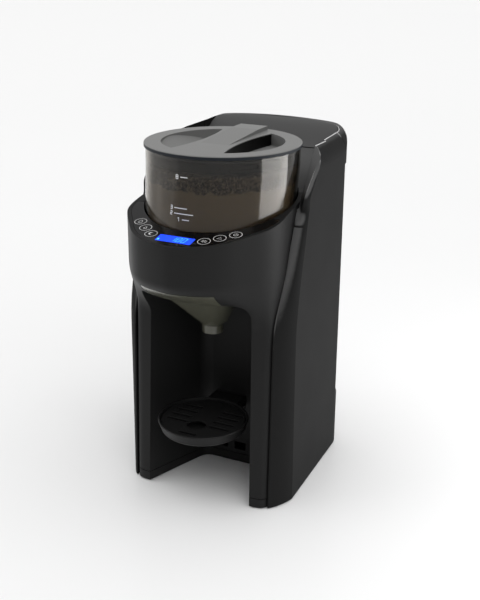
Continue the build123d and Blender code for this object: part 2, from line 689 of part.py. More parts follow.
# ================================================================ water tank with its valve and float
TANK_INSIDE_Z = TANK_FLOOR_Z + TANK_FLOOR_T
with BuildPart() as water_tank:
    add(plan_block(TANK_INSET, TANK_FLOOR_Z + TANK_PLAY, TANK_TOP_Z, TANK_FRONT_Y + 0.6, BACK_Y))
    add(
        plan_block(TANK_INSET + TANK_WALL, TANK_INSIDE_Z, TANK_TOP_Z + 1, TANK_FRONT_Y + 3, BACK_Y),
        mode=Mode.SUBTRACT,
    )
    # outlet under the floor
    with BuildSketch(Plane.XY.offset(OUTLET_LOW_Z)):
        with Locations((0, VALVE_Y)):
            Circle(OUTLET_COLLAR_R)
    extrude(amount=TANK_FLOOR_Z + 1 - OUTLET_LOW_Z)
    with BuildSketch(Plane.XY.offset(OUTLET_LOW_Z)):
        with Locations((0, VALVE_Y)):
            Circle(OUTLET_BORE_R)
    extrude(amount=TANK_FLOOR_Z + TANK_PLAY - OUTLET_LOW_Z, mode=Mode.SUBTRACT)
    with BuildSketch(Plane.XY.offset(TANK_FLOOR_Z)):
        with Locations((0, VALVE_Y)):
            Circle(VALVE_STEM_R + 0.05)
            with PolarLocations(3.9, 6):
                Circle(1.2)
    extrude(amount=10, mode=Mode.SUBTRACT)
    # ribs that guide the float
    with BuildSketch(Plane.XY.offset(TANK_INSIDE_Z)):
        with Locations((FLOAT_X - 9.5, FLOAT_Y - 0.8), (FLOAT_X + 9.5, FLOAT_Y - 0.8)):
            Rectangle(1.6, 8)
    extrude(amount=TANK_TOP_Z - 20 - TANK_INSIDE_Z)
write(water_tank.part, "water_tank")

with BuildPart() as level_float:
    with BuildSketch(Plane.XY.offset(TANK_INSIDE_Z + 0.3)):
        with Locations((FLOAT_X, FLOAT_Y)):
            RectangleRounded(16.6, 8, 1.5)
    extrude(amount=16)
write(level_float.part, "level_float")

with BuildPart() as tank_valve:
    with BuildSketch(Plane.XY.offset(VALVE_FOOT_Z)):
        with Locations((0, VALVE_Y)):
            Circle(4.6)
    extrude(amount=1)
    with BuildSketch(Plane.XY.offset(VALVE_FOOT_Z)):
        with Locations((0, VALVE_Y)):
            Circle(VALVE_STEM_R)
    extrude(amount=12)
    with BuildSketch(Plane.XY.offset(TANK_INSIDE_Z + 1.7)):
        with Locations((0, VALVE_Y)):
            Circle(VALVE_DISC_R)
    extrude(amount=2)
write(tank_valve.part, "tank_valve")

with BuildPart() as valve_seal:
    with BuildSketch(Plane.XY.offset(TANK_INSIDE_Z + 0.1)):
        with Locations((0, VALVE_Y)):
            Circle(VALVE_DISC_R - 0.3)
            Circle(VALVE_STEM_R, mode=Mode.SUBTRACT)
    extrude(amount=1.6)
write(valve_seal.part, "valve_seal")

with BuildPart() as valve_spring:
    with BuildLine(Plane(origin=(0, VALVE_Y, SPRING_Z))):
        Helix(pitch=SPRING_H / 4, height=SPRING_H, radius=SPRING_R)
    with BuildSketch(Plane(origin=(SPRING_R, VALVE_Y, SPRING_Z), x_dir=(1, 0, 0), z_dir=(0, 1, 0))):
        Circle(0.35)
    sweep(is_frenet=True)
write(valve_spring.part, "valve_spring")

with BuildPart() as tank_dock:
    add(plan_block(WALL + 0.3, DOCK_LOW_Z, TANK_FLOOR_Z, TANK_FRONT_Y - 3, BACK_Y))
    with BuildSketch(Plane.XY.offset(DOCK_CUP_Z)):
        with Locations((0, VALVE_Y)):
            Circle(DOCK_CUP_R)
    extrude(amount=DOCK_LOW_Z + 1 - DOCK_CUP_Z)
    with BuildSketch(Plane.XY.offset(DOCK_CUP_Z + 4)):
        with Locations((0, VALVE_Y)):
            Circle(OUTLET_COLLAR_R + 0.6)
    extrude(amount=20, mode=Mode.SUBTRACT)
    # pin that lifts the tank's valve
    with BuildSketch(Plane.XY.offset(DOCK_CUP_Z + 3)):
        with Locations((0, VALVE_Y)):
            Circle(1.5)
    extrude(amount=VALVE_FOOT_Z - 0.4 - DOCK_CUP_Z - 3)
    # outlet nipple towards the pump
    with BuildSketch(Plane.XZ.offset(-VALVE_Y + OUTLET_COLLAR_R)):
        with Locations((0, DOCK_CUP_Z + 8)):
            Circle(3)
    extrude(amount=10)
write(tank_dock.part, "tank_dock")

with BuildPart() as rear_panel:
    with BuildSketch(Plane.XY.offset(TANK_FLOOR_Z + 0.4)):
        with Locations((0, TANK_FRONT_Y - 1.9)):
            Rectangle(2 * (side_x(TANK_FRONT_Y) - WALL - SEAM), 2.6)
    extrude(amount=TANK_TOP_Z + 9.4 - TANK_FLOOR_Z)
    add(under_deck(WALL + SEAM), mode=Mode.INTERSECT)
write(rear_panel.part, "rear_panel")

# ================================================================ powder container
with BuildPart() as powder_hopper:
    add(hopper_form(0.0, HOPPER_FOOT_Z))
    add(hopper_form(-HOPPER_WALL, HOPPER_FOOT_Z + HOPPER_FLOOR), mode=Mode.SUBTRACT)
    # bore for the dosing wheel's boss, and the outlet
    with BuildSketch(Plane.XY.offset(HOPPER_FOOT_Z)):
        with Locations((0, WHEEL_Y)):
            Circle(WHEEL_BOSS_R + 0.06)
        with Locations((0, OUTLET_Y)):
            Circle(POCKET_R)
    extrude(amount=HOPPER_FLOOR + 1, mode=Mode.SUBTRACT)
    # bayonet lugs inside the mouth
    with BuildSketch(Plane.XY.offset(LUG_Z)):
        with BuildSketch(mode=Mode.PRIVATE) as lug:
            with Locations((HOPPER_TOP_R - HOPPER_WALL - 0.7, 0)):
                Rectangle(3.4, LUG_W)
        with Locations((0, LID_Y)):
            with PolarLocations(0, 3, start_angle=LUG_ANGLE):
                add(lug.sketch)
    extrude(amount=LUG_H)
write(powder_hopper.part, "powder_hopper")

# ---------------------------------------------------------------- lid
SCOOP_END = (SCOOP_R ** 2 - BAR_END_HALF_W ** 2) ** 0.5


def scoop_form(grow: float, drop: float) -> Part:
    """Finger recess right of the lid's bar, deepest beside the bar and rising to its outer arc."""
    with BuildPart(mode=Mode.PRIVATE) as scoop:
        with BuildSketch(Plane.XY.offset(LID_TOP_Z - 25)):
            with BuildLine():
                low = (BAR_END_HALF_W - grow, LID_Y - SCOOP_END - grow)
                high = (BAR_END_HALF_W - grow, LID_Y + SCOOP_END + grow)
                ThreePointArc(low, (BAR_HALF_W - grow, LID_Y), high)
                ThreePointArc(high, (SCOOP_R + grow, LID_Y), low)
            make_face()
        extrude(amount=30)
        with BuildSketch(Plane.XZ.offset(-LID_Y)):
            with BuildLine():
                floor_z = LID_TOP_Z - SCOOP_DEPTH - drop
                brim_z = LID_TOP_Z - drop
                rise, brim = (BAR_HALF_W + 14, floor_z + 0.6), (SCOOP_R + 1, brim_z - 0.5)
                above, outside_x = LID_TOP_Z + 5, SCOOP_R + 9
                Polyline((outside_x, above), (BAR_HALF_W - 6, above), (BAR_HALF_W - 6, floor_z), rise)
                Spline(rise, (SCOOP_R - 13, floor_z + 5.5), brim, tangents=[(1, 0.12), (1, 0.9)])
                Polyline(brim, (outside_x, brim_z), (outside_x, above))
            make_face()
        extrude(amount=SCOOP_R + 5, both=True, mode=Mode.INTERSECT)
    return scoop.part


with BuildPart() as scoops:
    add(scoop_form(0.0, 0.0))
    mirror(about=Plane.YZ)

with BuildPart() as scoop_shells:
    add(scoop_form(2.0, 2.0))
    mirror(about=Plane.YZ)
    with BuildSketch(Plane.XY.offset(LID_TOP_Z - 30)):
        with Locations((0, LID_Y)):
            Circle(SKIRT_R - 1)
    extrude(amount=29, mode=Mode.INTERSECT)

with BuildPart() as hopper_lid:
    with BuildSketch(Plane.XY.offset(LID_TOP_Z - LID_FLANGE)):
        with Locations((0, LID_Y)):
            Circle(LID_R)
    extrude(amount=LID_FLANGE)
    fillet(hopper_lid.edges().group_by(Axis.Z)[-1], 1.0)
    # skirt inside the container's mouth
    with BuildSketch(Plane.XY.offset(SKIRT_LOW_Z)):
        with Locations((0, LID_Y)):
            Circle(SKIRT_R)
            Circle(SKIRT_R - SKIRT_WALL, mode=Mode.SUBTRACT)
    extrude(amount=LID_TOP_Z - LID_FLANGE - SKIRT_LOW_Z)
    # groove for the seal
    with BuildSketch(Plane.XY.offset(SEAL_Z - SEAL_R - 0.4)):
        with Locations((0, LID_Y)):
            Circle(SKIRT_R + 1)
            Circle(SKIRT_R - 1.3, mode=Mode.SUBTRACT)
    extrude(amount=2 * SEAL_R + 0.8, mode=Mode.SUBTRACT)
    # three L-shaped bayonet grooves
    for i in range(3):
        turn = LUG_ANGLE + 120 * i
        for z, height, start, sweep_angle in (
            (SKIRT_LOW_Z, LUG_Z + LUG_H + 0.6 - SKIRT_LOW_Z, turn - 3.2, 6.4),
            (LUG_Z - 0.6, LUG_H + 1.2, turn - 3.2, 27.2),
        ):
            with BuildSketch(Plane.XY.offset(z)):
                with BuildLine(Plane(origin=(0, LID_Y, z))):
                    inner_arc = CenterArc((0, 0), SKIRT_R - 1.3, start, sweep_angle)
                    outer_arc = CenterArc((0, 0), SKIRT_R + 1, start, sweep_angle)
                    Line(inner_arc @ 0, outer_arc @ 0)
                    Line(inner_arc @ 1, outer_arc @ 1)
                make_face()
            extrude(amount=height, mode=Mode.SUBTRACT)
    add(scoop_shells.part)
    # crown of the bar, rising to the thumb pad at the back
    with BuildSketch(Plane.YZ):
        with BuildLine():
            Polyline(
                (RAMP_FRONT_Y, LID_TOP_Z - 2), (RAMP_FRONT_Y, LID_TOP_Z), (PAD_FRONT_Y, LID_TOP_Z + PAD_H),
                (PAD_BACK_Y, LID_TOP_Z + PAD_H), (PAD_BACK_Y, LID_TOP_Z - 2), close=True,
            )
        make_face()
    extrude(amount=PAD_HALF_W, both=True)
    add(scoops.part, mode=Mode.SUBTRACT)
write(hopper_lid.part, "hopper_lid")

with BuildPart() as lid_seal:
    with BuildSketch(Plane.XZ.offset(-LID_Y)):
        with Locations((SKIRT_R + 0.1, SEAL_Z)):
            Circle(SEAL_R)
    revolve(axis=Axis((0, LID_Y, 0), (0, 0, 1)))
write(lid_seal.part, "lid_seal")

# ---------------------------------------------------------------- dosing wheel, stirrer and scraper
WHEEL_Z = HOPPER_FOOT_Z + HOPPER_FLOOR + 0.3
with BuildPart() as dosing_wheel:
    with BuildSketch(Plane.XY.offset(WHEEL_Z)):
        with Locations((0, WHEEL_Y)):
            Circle(WHEEL_R)
            with PolarLocations(WHEEL_Y - OUTLET_Y, POCKETS, start_angle=-90 + 180 / POCKETS):
                Circle(POCKET_R, mode=Mode.SUBTRACT)
            with PolarLocations(26, 4):
                Circle(8, mode=Mode.SUBTRACT)
    extrude(amount=WHEEL_T)
    with BuildSketch(Plane.XY.offset(HOPPER_FOOT_Z + 0.4)):
        with Locations((0, WHEEL_Y)):
            Circle(WHEEL_BOSS_R)
    extrude(amount=WHEEL_Z - HOPPER_FOOT_Z)
    with BuildSketch(Plane.XY.offset(HOPPER_FOOT_Z)):
        with Locations((0, WHEEL_Y)):
            RegularPolygon(DOG_R + 0.5, 6)
    extrude(amount=7, mode=Mode.SUBTRACT)
write(dosing_wheel.part, "dosing_wheel")

with BuildPart() as stirrer:
    with BuildSketch(Plane.XY.offset(WHEEL_Z + WHEEL_T)):
        with Locations((0, WHEEL_Y)):
            Circle(9)
    extrude(amount=9)
    fillet(stirrer.edges().group_by(Axis.Z)[-1], 2)
    with BuildSketch(Plane.XY.offset(WHEEL_Z + WHEEL_T + 3.5)):
        with Locations((0, WHEEL_Y)):
            Rectangle(6, 2 * STIRRER_R)
            Rectangle(2 * STIRRER_R, 6)
    extrude(amount=3.5)
    with BuildSketch(Plane.XY.offset(WHEEL_Z + WHEEL_T + 3.5)):
        with Locations((0, WHEEL_Y)):
            with PolarLocations(STIRRER_R - 3, 4):
                Circle(2.4)
    extrude(amount=22)
write(stirrer.part, "stirrer")

with BuildPart() as powder_scraper:
    with BuildSketch(Plane.XY.offset(WHEEL_Z + WHEEL_T + 0.4)):
        with Locations((0, OUTLET_Y - 6)):
            RectangleRounded(26, 30, 6)
    extrude(amount=1.8)
    with BuildSketch(Plane.XY.offset(HOPPER_FOOT_Z + HOPPER_FLOOR)):
        with Locations((-8, OUTLET_Y - 16), (8, OUTLET_Y - 16)):
            Circle(2.4)
    extrude(amount=WHEEL_T + 1)
write(powder_scraper.part, "powder_scraper")

# ================================================================ drive under the container
with BuildPart() as drive_deck:
    add(head_block(WALL, DRIVE_DECK_Z, DRIVE_DECK_Z + DECK_T, HOUSING_BACK_Y))
    split(bisect_by=Plane.XZ.offset(-DRIVE_DECK_FRONT_Y), keep=Keep.BOTTOM)
    with BuildSketch(Plane.XY.offset(DRIVE_DECK_Z)):
        with Locations((0, WHEEL_Y)):
            Circle(BUSH_R)
        with Locations((0, OUTLET_Y)):
            Circle(CHUTE_R - CHUTE_WALL)
    extrude(amount=DECK_T, mode=Mode.SUBTRACT)
write(drive_deck.part, "drive_deck")

with BuildPart() as shaft_bush:
    with BuildSketch(Plane.XY.offset(DRIVE_DECK_Z - 3)):
        with Locations((0, WHEEL_Y)):
            Circle(BUSH_R + 2)
            Circle(SHAFT_R + 0.05, mode=Mode.SUBTRACT)
    extrude(amount=3)
    with BuildSketch(Plane.XY.offset(DRIVE_DECK_Z)):
        with Locations((0, WHEEL_Y)):
            Circle(BUSH_R)
            Circle(SHAFT_R + 0.05, mode=Mode.SUBTRACT)
    extrude(amount=DECK_T)
write(shaft_bush.part, "shaft_bush")

with BuildPart() as drive_shaft:
    with BuildSketch(Plane.XY.offset(BRACKET_Z)):
        with Locations((0, WHEEL_Y)):
            Circle(SHAFT_R)
    extrude(amount=HOPPER_FOOT_Z + 0.2 - BRACKET_Z)
    with BuildSketch(Plane.XY.offset(HOPPER_FOOT_Z + 0.2)):
        with Locations((0, WHEEL_Y)):
            RegularPolygon(DOG_R, 6)
    extrude(amount=6)
write(drive_shaft.part, "drive_shaft")


def gear_plan(teeth: int) -> Sketch:
    """Spur gear outline with involute flanks."""
    pitch_r = GEAR_MODULE * teeth / 2
    base_r = pitch_r * cos(PRESSURE_ANGLE)
    root_r = pitch_r - 1.2 * GEAR_MODULE
    tip_r = pitch_r + 0.85 * GEAR_MODULE
    half_tooth = pi / (2 * teeth) - BACKLASH / (2 * pitch_r)

    def flank_angle(r: float) -> float:
        """Angle from the tooth's middle to its flank at a radius."""
        roll = acos(min(base_r / r, 1.0))
        return half_tooth + tan(PRESSURE_ANGLE) - PRESSURE_ANGLE - (tan(roll) - roll)

    start_r = max(base_r, root_r)
    right = []
    for i in range(4):
        r = blend(start_r, tip_r, i / 3)
        right.append((r * cos(flank_angle(r)), -r * sin(flank_angle(r))))
    foot = (0.98 * root_r * cos(flank_angle(start_r)), -0.98 * root_r * sin(flank_angle(start_r)))
    half = [foot] + right
    with BuildSketch(mode=Mode.PRIVATE) as tooth:
        with BuildLine():
            Polyline(*half, *[(x, -y) for x, y in reversed(half)], close=True)
        make_face()
    with BuildSketch(mode=Mode.PRIVATE) as gear:
        Circle(root_r)
        with PolarLocations(0, teeth):
            add(tooth.sketch)
    return gear.sketch


with BuildPart() as drive_gear:
    with BuildSketch(Plane.XY.offset(GEAR_Z)):
        with Locations((0, WHEEL_Y)):
            add(gear_plan(GEAR_TEETH))
            Circle(SHAFT_R + 0.02, mode=Mode.SUBTRACT)
            with PolarLocations(21, 6, start_angle=30):
                Circle(7, mode=Mode.SUBTRACT)
    extrude(amount=GEAR_T)
    with BuildSketch(Plane.XY.offset(GEAR_Z - 3)):
        with Locations((0, WHEEL_Y)):
            Circle(9)
            Circle(SHAFT_R + 0.02, mode=Mode.SUBTRACT)
    extrude(amount=3)
write(drive_gear.part, "drive_gear")

with BuildPart() as motor_pinion:
    with BuildSketch(Plane.XY.offset(GEAR_Z)):
        with Locations(Location((0, MOTOR_Y, 0), (0, 0, 180 / PINION_TEETH))):
            add(gear_plan(PINION_TEETH))
    extrude(amount=GEAR_T)
    with BuildSketch(Plane.XY.offset(BRACKET_Z - 1)):
        with Locations((0, MOTOR_Y)):
            Circle(3)
    extrude(amount=GEAR_Z + GEAR_T + 3 - BRACKET_Z)
write(motor_pinion.part, "motor_pinion")

with BuildPart() as dosing_motor:
    with BuildSketch(Plane.XY.offset(BRACKET_Z - MOTOR_L)):
        with Locations((0, MOTOR_Y)):
            Circle(MOTOR_R)
    extrude(amount=MOTOR_L)
    chamfer(dosing_motor.edges().group_by(Axis.Z)[0], 1.5)
    with BuildSketch(Plane.XY.offset(BRACKET_Z - 4)):
        with Locations((0, MOTOR_Y)):
            Circle(4)
    extrude(amount=5, mode=Mode.SUBTRACT)
write(dosing_motor.part, "dosing_motor")

POSTS = ((-44, WHEEL_Y), (44, WHEEL_Y), (-41, 5), (41, 5))
with BuildPart() as motor_bracket:
    with BuildSketch(Plane.XY.offset(BRACKET_Z)):
        with BuildLine():
            Polyline((-50, -28), (50, -28), (50, 11), (20, 46), (-20, 46), (-50, 11), close=True)
        make_face()
        with Locations((0, WHEEL_Y)):
            Circle(SHAFT_R + 0.05, mode=Mode.SUBTRACT)
        with Locations((0, MOTOR_Y)):
            Circle(4, mode=Mode.SUBTRACT)
    extrude(amount=BRACKET_T)
    with BuildSketch(Plane.XY.offset(BRACKET_Z + BRACKET_T)):
        with Locations(*POSTS):
            Circle(3.5)
    extrude(amount=DRIVE_DECK_Z - BRACKET_Z - BRACKET_T)
write(motor_bracket.part, "motor_bracket")

with BuildPart() as powder_chute:
    with BuildSketch(Plane.XY.offset(CHUTE_LOW_Z)):
        with Locations((0, OUTLET_Y)):
            Circle(CHUTE_R)
            Circle(CHUTE_R - CHUTE_WALL, mode=Mode.SUBTRACT)
    extrude(amount=DRIVE_DECK_Z - CHUTE_LOW_Z)
    with BuildSketch(Plane.XY.offset(DRIVE_DECK_Z - 2)):
        with Locations((0, OUTLET_Y)):
            Circle(CHUTE_R + 3)
            Circle(CHUTE_R - CHUTE_WALL, mode=Mode.SUBTRACT)
    extrude(amount=2)
write(powder_chute.part, "powder_chute")

# ================================================================ mixing funnel
def bowl_form(inset: float, top_z: float) -> Part:
    """Funnel bowl: upright rim, cone and spout."""
    plan_y = (BOWL_Y[0] + BOWL_Y[1]) / 2
    width, depth = 2 * (BOWL_HALF_W - inset), BOWL_Y[1] - BOWL_Y[0] - 2 * inset
    with BuildPart(mode=Mode.PRIVATE) as bowl:
        with BuildSketch(Plane.XY.offset(BOWL_TURN_Z)) as rim:
            with Locations((0, plan_y)):
                RectangleRounded(width, depth, BOWL_CORNER - inset)
        extrude(amount=top_z - BOWL_TURN_Z)
        with BuildSketch(Plane.XY.offset(CONE_FOOT_Z)):
            with Locations((0, SPOUT_Y)):
                Circle(CONE_FOOT_R - inset)
        add(rim.sketch)
        loft()
        with BuildSketch(Plane.XY.offset(CONE_FOOT_Z)):
            with Locations((0, SPOUT_Y)):
                Circle(CONE_FOOT_R - inset)
        with BuildSketch(Plane.XY.offset(CONE_FOOT_Z - 5)):
            with Locations((0, SPOUT_Y)):
                Circle(SPOUT_R - inset)
        loft()
        with BuildSketch(Plane.XY.offset(SPOUT_TIP_Z)):
            with Locations((0, SPOUT_Y)):
                Circle(SPOUT_R - inset)
        extrude(amount=CONE_FOOT_Z - 5 - SPOUT_TIP_Z)
    return bowl.part


FLANGE_Z = BAY_CEILING_Z + BAY_LINER + 0.3
BOWL_TOP_Z = 250.6
DRAWER_TOP_Z = NOTCH_TOP_Z - 0.5
with BuildPart() as drawer_room:
    with BuildSketch(Plane.XY.offset(BAY_CEILING_Z + 0.6)):
        with Locations((0, (BOWL_Y[1] + FRONT_Y) / 2)):
            Rectangle(2 * FLANGE_HALF_W, BOWL_Y[1] - FRONT_Y)
    extrude(amount=DRAWER_TOP_Z - BAY_CEILING_Z - 0.6)
    add(HOUSING, mode=Mode.INTERSECT)

with BuildPart() as funnel_flange:
    add(drawer_room.part)
    split(bisect_by=Plane.XY.offset(FLANGE_Z), keep=Keep.TOP)
    split(bisect_by=Plane.XY.offset(FLANGE_Z + FLANGE_T), keep=Keep.BOTTOM)

with BuildPart() as mixing_funnel:
    add(drawer_room.part)
    add(HOUSING_INSIDE, mode=Mode.SUBTRACT)
    add(funnel_flange.part)
    add(bowl_form(0.0, BOWL_TOP_Z))
    add(bowl_form(FUNNEL_WALL, BOWL_TOP_Z + 1), mode=Mode.SUBTRACT)
    with BuildSketch(Plane.XY.offset(SPOUT_TIP_Z - 1)):
        with Locations((0, SPOUT_Y)):
            Circle(SPOUT_R - FUNNEL_WALL)
    extrude(amount=10, mode=Mode.SUBTRACT)
write(mixing_funnel.part, "mixing_funnel")

with BuildPart() as funnel_cover:
    add(drawer_room.part)
    add(HOUSING_INSIDE, mode=Mode.INTERSECT)
    split(bisect_by=Plane.XY.offset(BOWL_TOP_Z), keep=Keep.TOP)
    split(bisect_by=Plane.XY.offset(BOWL_TOP_Z + 2), keep=Keep.BOTTOM)
    with BuildSketch(Plane.XY.offset(BOWL_TOP_Z)):
        with Locations((0, OUTLET_Y)):
            Circle(CHUTE_R + 1)
        with Locations((NOZZLE_X, SPOUT_Y)):
            Circle(NOZZLE_R + 1)
    extrude(amount=3, mode=Mode.SUBTRACT)
write(funnel_cover.part, "funnel_cover")

# ---------------------------------------------------------------- channel that guides the funnel
GUIDE_TOP_Z = NOTCH_TOP_Z + 3
with BuildPart() as funnel_guide:
    with BuildSketch(Plane.XY.offset(BAY_CEILING_Z - 2)):
        with Locations((0, (GUIDE_Y[0] + GUIDE_Y[1]) / 2)):
            Rectangle(2 * (FLANGE_HALF_W + 0.4 + GUIDE_WALL), GUIDE_Y[1] - GUIDE_Y[0])
    extrude(amount=GUIDE_TOP_Z - BAY_CEILING_Z + 2)
    with BuildSketch(Plane.XY.offset(FLANGE_Z - 0.3)):
        with Locations((0, (GUIDE_Y[0] + GUIDE_Y[1]) / 2 - GUIDE_WALL)):
            Rectangle(2 * (FLANGE_HALF_W + 0.4), GUIDE_Y[1] - GUIDE_Y[0])
    extrude(amount=NOTCH_TOP_Z - FLANGE_Z + 0.9, mode=Mode.SUBTRACT)
    with BuildSketch(Plane.XY.offset(BAY_CEILING_Z - 5)):
        with Locations((0, (SLOT_BACK_Y + GUIDE_Y[0]) / 2 - 5)):
            Rectangle(2 * SLOT_HALF_W, SLOT_BACK_Y - GUIDE_Y[0] + 10)
    extrude(amount=8, mode=Mode.SUBTRACT)
    with BuildSketch(Plane.XY.offset(NOTCH_TOP_Z)):
        with Locations((0, OUTLET_Y)):
            Circle(CHUTE_R)
        with Locations((NOZZLE_X, SPOUT_Y)):
            Circle(NOZZLE_R)
    extrude(amount=5, mode=Mode.SUBTRACT)
    add(bay_form(BAY_LINER), mode=Mode.SUBTRACT)
write(funnel_guide.part, "funnel_guide")

with BuildPart() as water_nozzle:
    with BuildSketch(Plane.XY.offset(NOTCH_TOP_Z + 0.6)):
        with Locations((NOZZLE_X, SPOUT_Y)):
            Circle(NOZZLE_R)
            Circle(NOZZLE_R - 2, mode=Mode.SUBTRACT)
    extrude(amount=NOZZLE_L)
    with BuildSketch(Plane.XY.offset(GUIDE_TOP_Z)):
        with Locations((NOZZLE_X, SPOUT_Y)):
            Circle(NOZZLE_R + 2)
            Circle(NOZZLE_R - 2, mode=Mode.SUBTRACT)
    extrude(amount=2)
write(water_nozzle.part, "water_nozzle")

# ================================================================ drip tray
NECK_HALF_W = HOOK_X[1] + 0.5
NECK_BACK_Y = BAY_BACK_Y - 0.4
TRAY_LOW_R = TRAY_R - 3.4
with BuildPart() as drip_tray:
    with BuildSketch(Plane.XZ.offset(-TRAY_Y)):
        with BuildLine():
            low_z = TRAY_TOP_Z - TRAY_H
            wall_r = TRAY_R - TRAY_WALL
            Polyline((0, low_z), (TRAY_LOW_R - 3, low_z))
            ThreePointArc(
                (TRAY_LOW_R - 3, low_z), (TRAY_LOW_R - 0.6, low_z + 1.1), (TRAY_LOW_R + 0.3, low_z + 3.4),
            )
            Polyline(
                (TRAY_LOW_R + 0.3, low_z + 3.4), (TRAY_R, TRAY_TOP_Z - 1), (TRAY_R - 0.6, TRAY_TOP_Z),
                (wall_r, TRAY_TOP_Z), (GRILLE_R + 0.3, GRILLE_Z - 0.3), (GRILLE_R - 2.4, GRILLE_Z - 0.3),
                (TRAY_LOW_R - 3.4, low_z + TRAY_WALL), (0, low_z + TRAY_WALL), (0, low_z),
            )
        make_face()
    revolve(axis=Axis((0, TRAY_Y, 0), (0, 0, 1)))
    # neck that carries the tray from the bay's back wall
    with BuildSketch(Plane.XY.offset(TRAY_TOP_Z - TRAY_H)):
        with Locations((0, (NECK_BACK_Y + TRAY_Y) / 2)):
            Rectangle(2 * NECK_HALF_W, NECK_BACK_Y - TRAY_Y)
        with Locations((0, TRAY_Y)):
            Circle(TRAY_LOW_R, mode=Mode.SUBTRACT)
    extrude(amount=TRAY_H - 1)
    # tabs that enter the windows
    with BuildSketch(Plane.XY.offset(HOOK_LEVELS[0] - 4)):
        with Locations(*[(side * sum(HOOK_X) / 2, NECK_BACK_Y + TAB_L / 2) for side in (-1, 1)]):
            Rectangle(HOOK_X[1] - HOOK_X[0], TAB_L)
    extrude(amount=8)
write(drip_tray.part, "drip_tray")

with BuildPart() as tray_grille:
    with BuildSketch(Plane.XY.offset(GRILLE_Z)):
        with Locations((0, TRAY_Y)):
            Circle(GRILLE_R)
        with Locations((0, GRILLE_HOLE_Y)):
            Circle(GRILLE_HOLE_R, mode=Mode.SUBTRACT)
        for y in GRILLE_SLOTS_Y:
            with Locations((25, y), (-25, y)):
                SlotOverall(26, 4.4, mode=Mode.SUBTRACT)
        with Locations((0, GRILLE_FRONT_Y)):
            SlotOverall(22, 4.4, mode=Mode.SUBTRACT)
    extrude(amount=GRILLE_T)
    fillet(tray_grille.edges().group_by(Axis.Z)[-1].sort_by(SortBy.LENGTH)[-1:], 0.8)
write(tray_grille.part, "tray_grille")

# ================================================================ water heater, pump and hoses
with BuildPart() as heater_block:
    with BuildSketch(Plane.XY.offset(HEATER_Z)):
        with Locations((HEATER_X, HEATER_Y)):
            Circle(HEATER_R)
    extrude(amount=HEATER_H)
    fillet(heater_block.edges().group_by(Axis.Z)[-1], 5)
    fillet(heater_block.edges().group_by(Axis.Z)[0], 5)
    with BuildSketch(Plane.XY.offset(FOOT_H + WALL)):
        with Locations((HEATER_X, HEATER_Y)):
            with PolarLocations(HEATER_R - 9.5, 3):
                Circle(HEATER_ROD_R)
    extrude(amount=HEATER_Z + 1 - FOOT_H - WALL)
    with BuildSketch(Plane.XY.offset(HEATER_Z + HEATER_H - 0.5)):
        with Locations((HEATER_X, HEATER_Y)):
            Circle(HEATER_ROD_R)
    extrude(amount=10.5)
write(heater_block.part, "heater_block")

with BuildPart() as pump_mounts:
    with BuildSketch(Plane.XY.offset(FOOT_H + WALL)):
        with Locations((PUMP_X, PUMP_Y)):
            with GridLocations(24, 36, 2, 2):
                Circle(4)
    extrude(amount=PUMP_Z - FOOT_H - WALL)
write(pump_mounts.part, "pump_mounts")

with BuildPart() as water_pump:
    with BuildSketch(Plane.XY.offset(PUMP_Z)):
        with Locations((PUMP_X, PUMP_Y)):
            RectangleRounded(*PUMP_FOOT, 4)
    extrude(amount=4)
    with BuildSketch(Plane.XZ.offset(-PUMP_Y + PUMP_FOOT[1] / 2)):
        with Locations((PUMP_X, PUMP_AXIS_Z)):
            Circle(PUMP_MOTOR_R)
    extrude(amount=-32)
    with BuildSketch(Plane.XZ.offset(-PUMP_Y - 7)):
        with Locations((PUMP_X, PUMP_AXIS_Z)):
            RectangleRounded(34, 30, 4)
    extrude(amount=-16)
    # nipples
    with BuildSketch(Plane.XY.offset(PUMP_Z + 30)):
        with Locations((PUMP_X - 9, PUMP_Y + 15), (PUMP_X + 9, PUMP_Y + 15)):
            Circle(3)
    extrude(amount=12)
write(water_pump.part, "water_pump")
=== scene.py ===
"""Looks of a countertop baby formula maker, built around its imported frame.

Everything is in metres in the frame's own axes: +Z up, the front faces -Y, the origin is under the
machine on the surface that it stands on. Fields whose names end in _mm are in millimetres.
"""

import logging
import math
from dataclasses import dataclass, field
from enum import Enum

import bmesh
import bpy
from mathutils import Matrix, Vector, noise


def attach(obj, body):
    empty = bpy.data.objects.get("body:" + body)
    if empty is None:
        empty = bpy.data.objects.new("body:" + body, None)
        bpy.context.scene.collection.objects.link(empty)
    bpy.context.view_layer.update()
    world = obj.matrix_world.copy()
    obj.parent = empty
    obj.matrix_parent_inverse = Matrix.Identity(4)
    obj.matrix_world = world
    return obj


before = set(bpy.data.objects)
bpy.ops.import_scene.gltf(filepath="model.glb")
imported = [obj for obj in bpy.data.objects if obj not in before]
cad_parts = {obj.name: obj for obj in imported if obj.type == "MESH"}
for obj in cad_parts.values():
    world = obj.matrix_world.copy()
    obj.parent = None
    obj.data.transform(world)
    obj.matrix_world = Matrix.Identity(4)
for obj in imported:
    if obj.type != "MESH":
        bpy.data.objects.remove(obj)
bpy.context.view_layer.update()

LOG = logging.getLogger("formula_maker")
MM = 0.001

Point = tuple[float, float]
Span = tuple[float, float]
Colour = tuple[float, float, float, float]
Mesh = bmesh.types.BMesh
Tree = bpy.types.NodeTree
Node = bpy.types.Node
Socket = bpy.types.NodeSocket

# settings that many shader nodes share
SOLID = {"noise_dimensions": "3D"}
BLEND = {"data_type": "RGBA"}
DOT = {"operation": "DOT_PRODUCT"}
MULTIPLY = {"operation": "MULTIPLY"}


# ---------------------------------------------------------------- helpers
def mm(value: float) -> float:
    """Millimetres in metres."""
    return value * MM


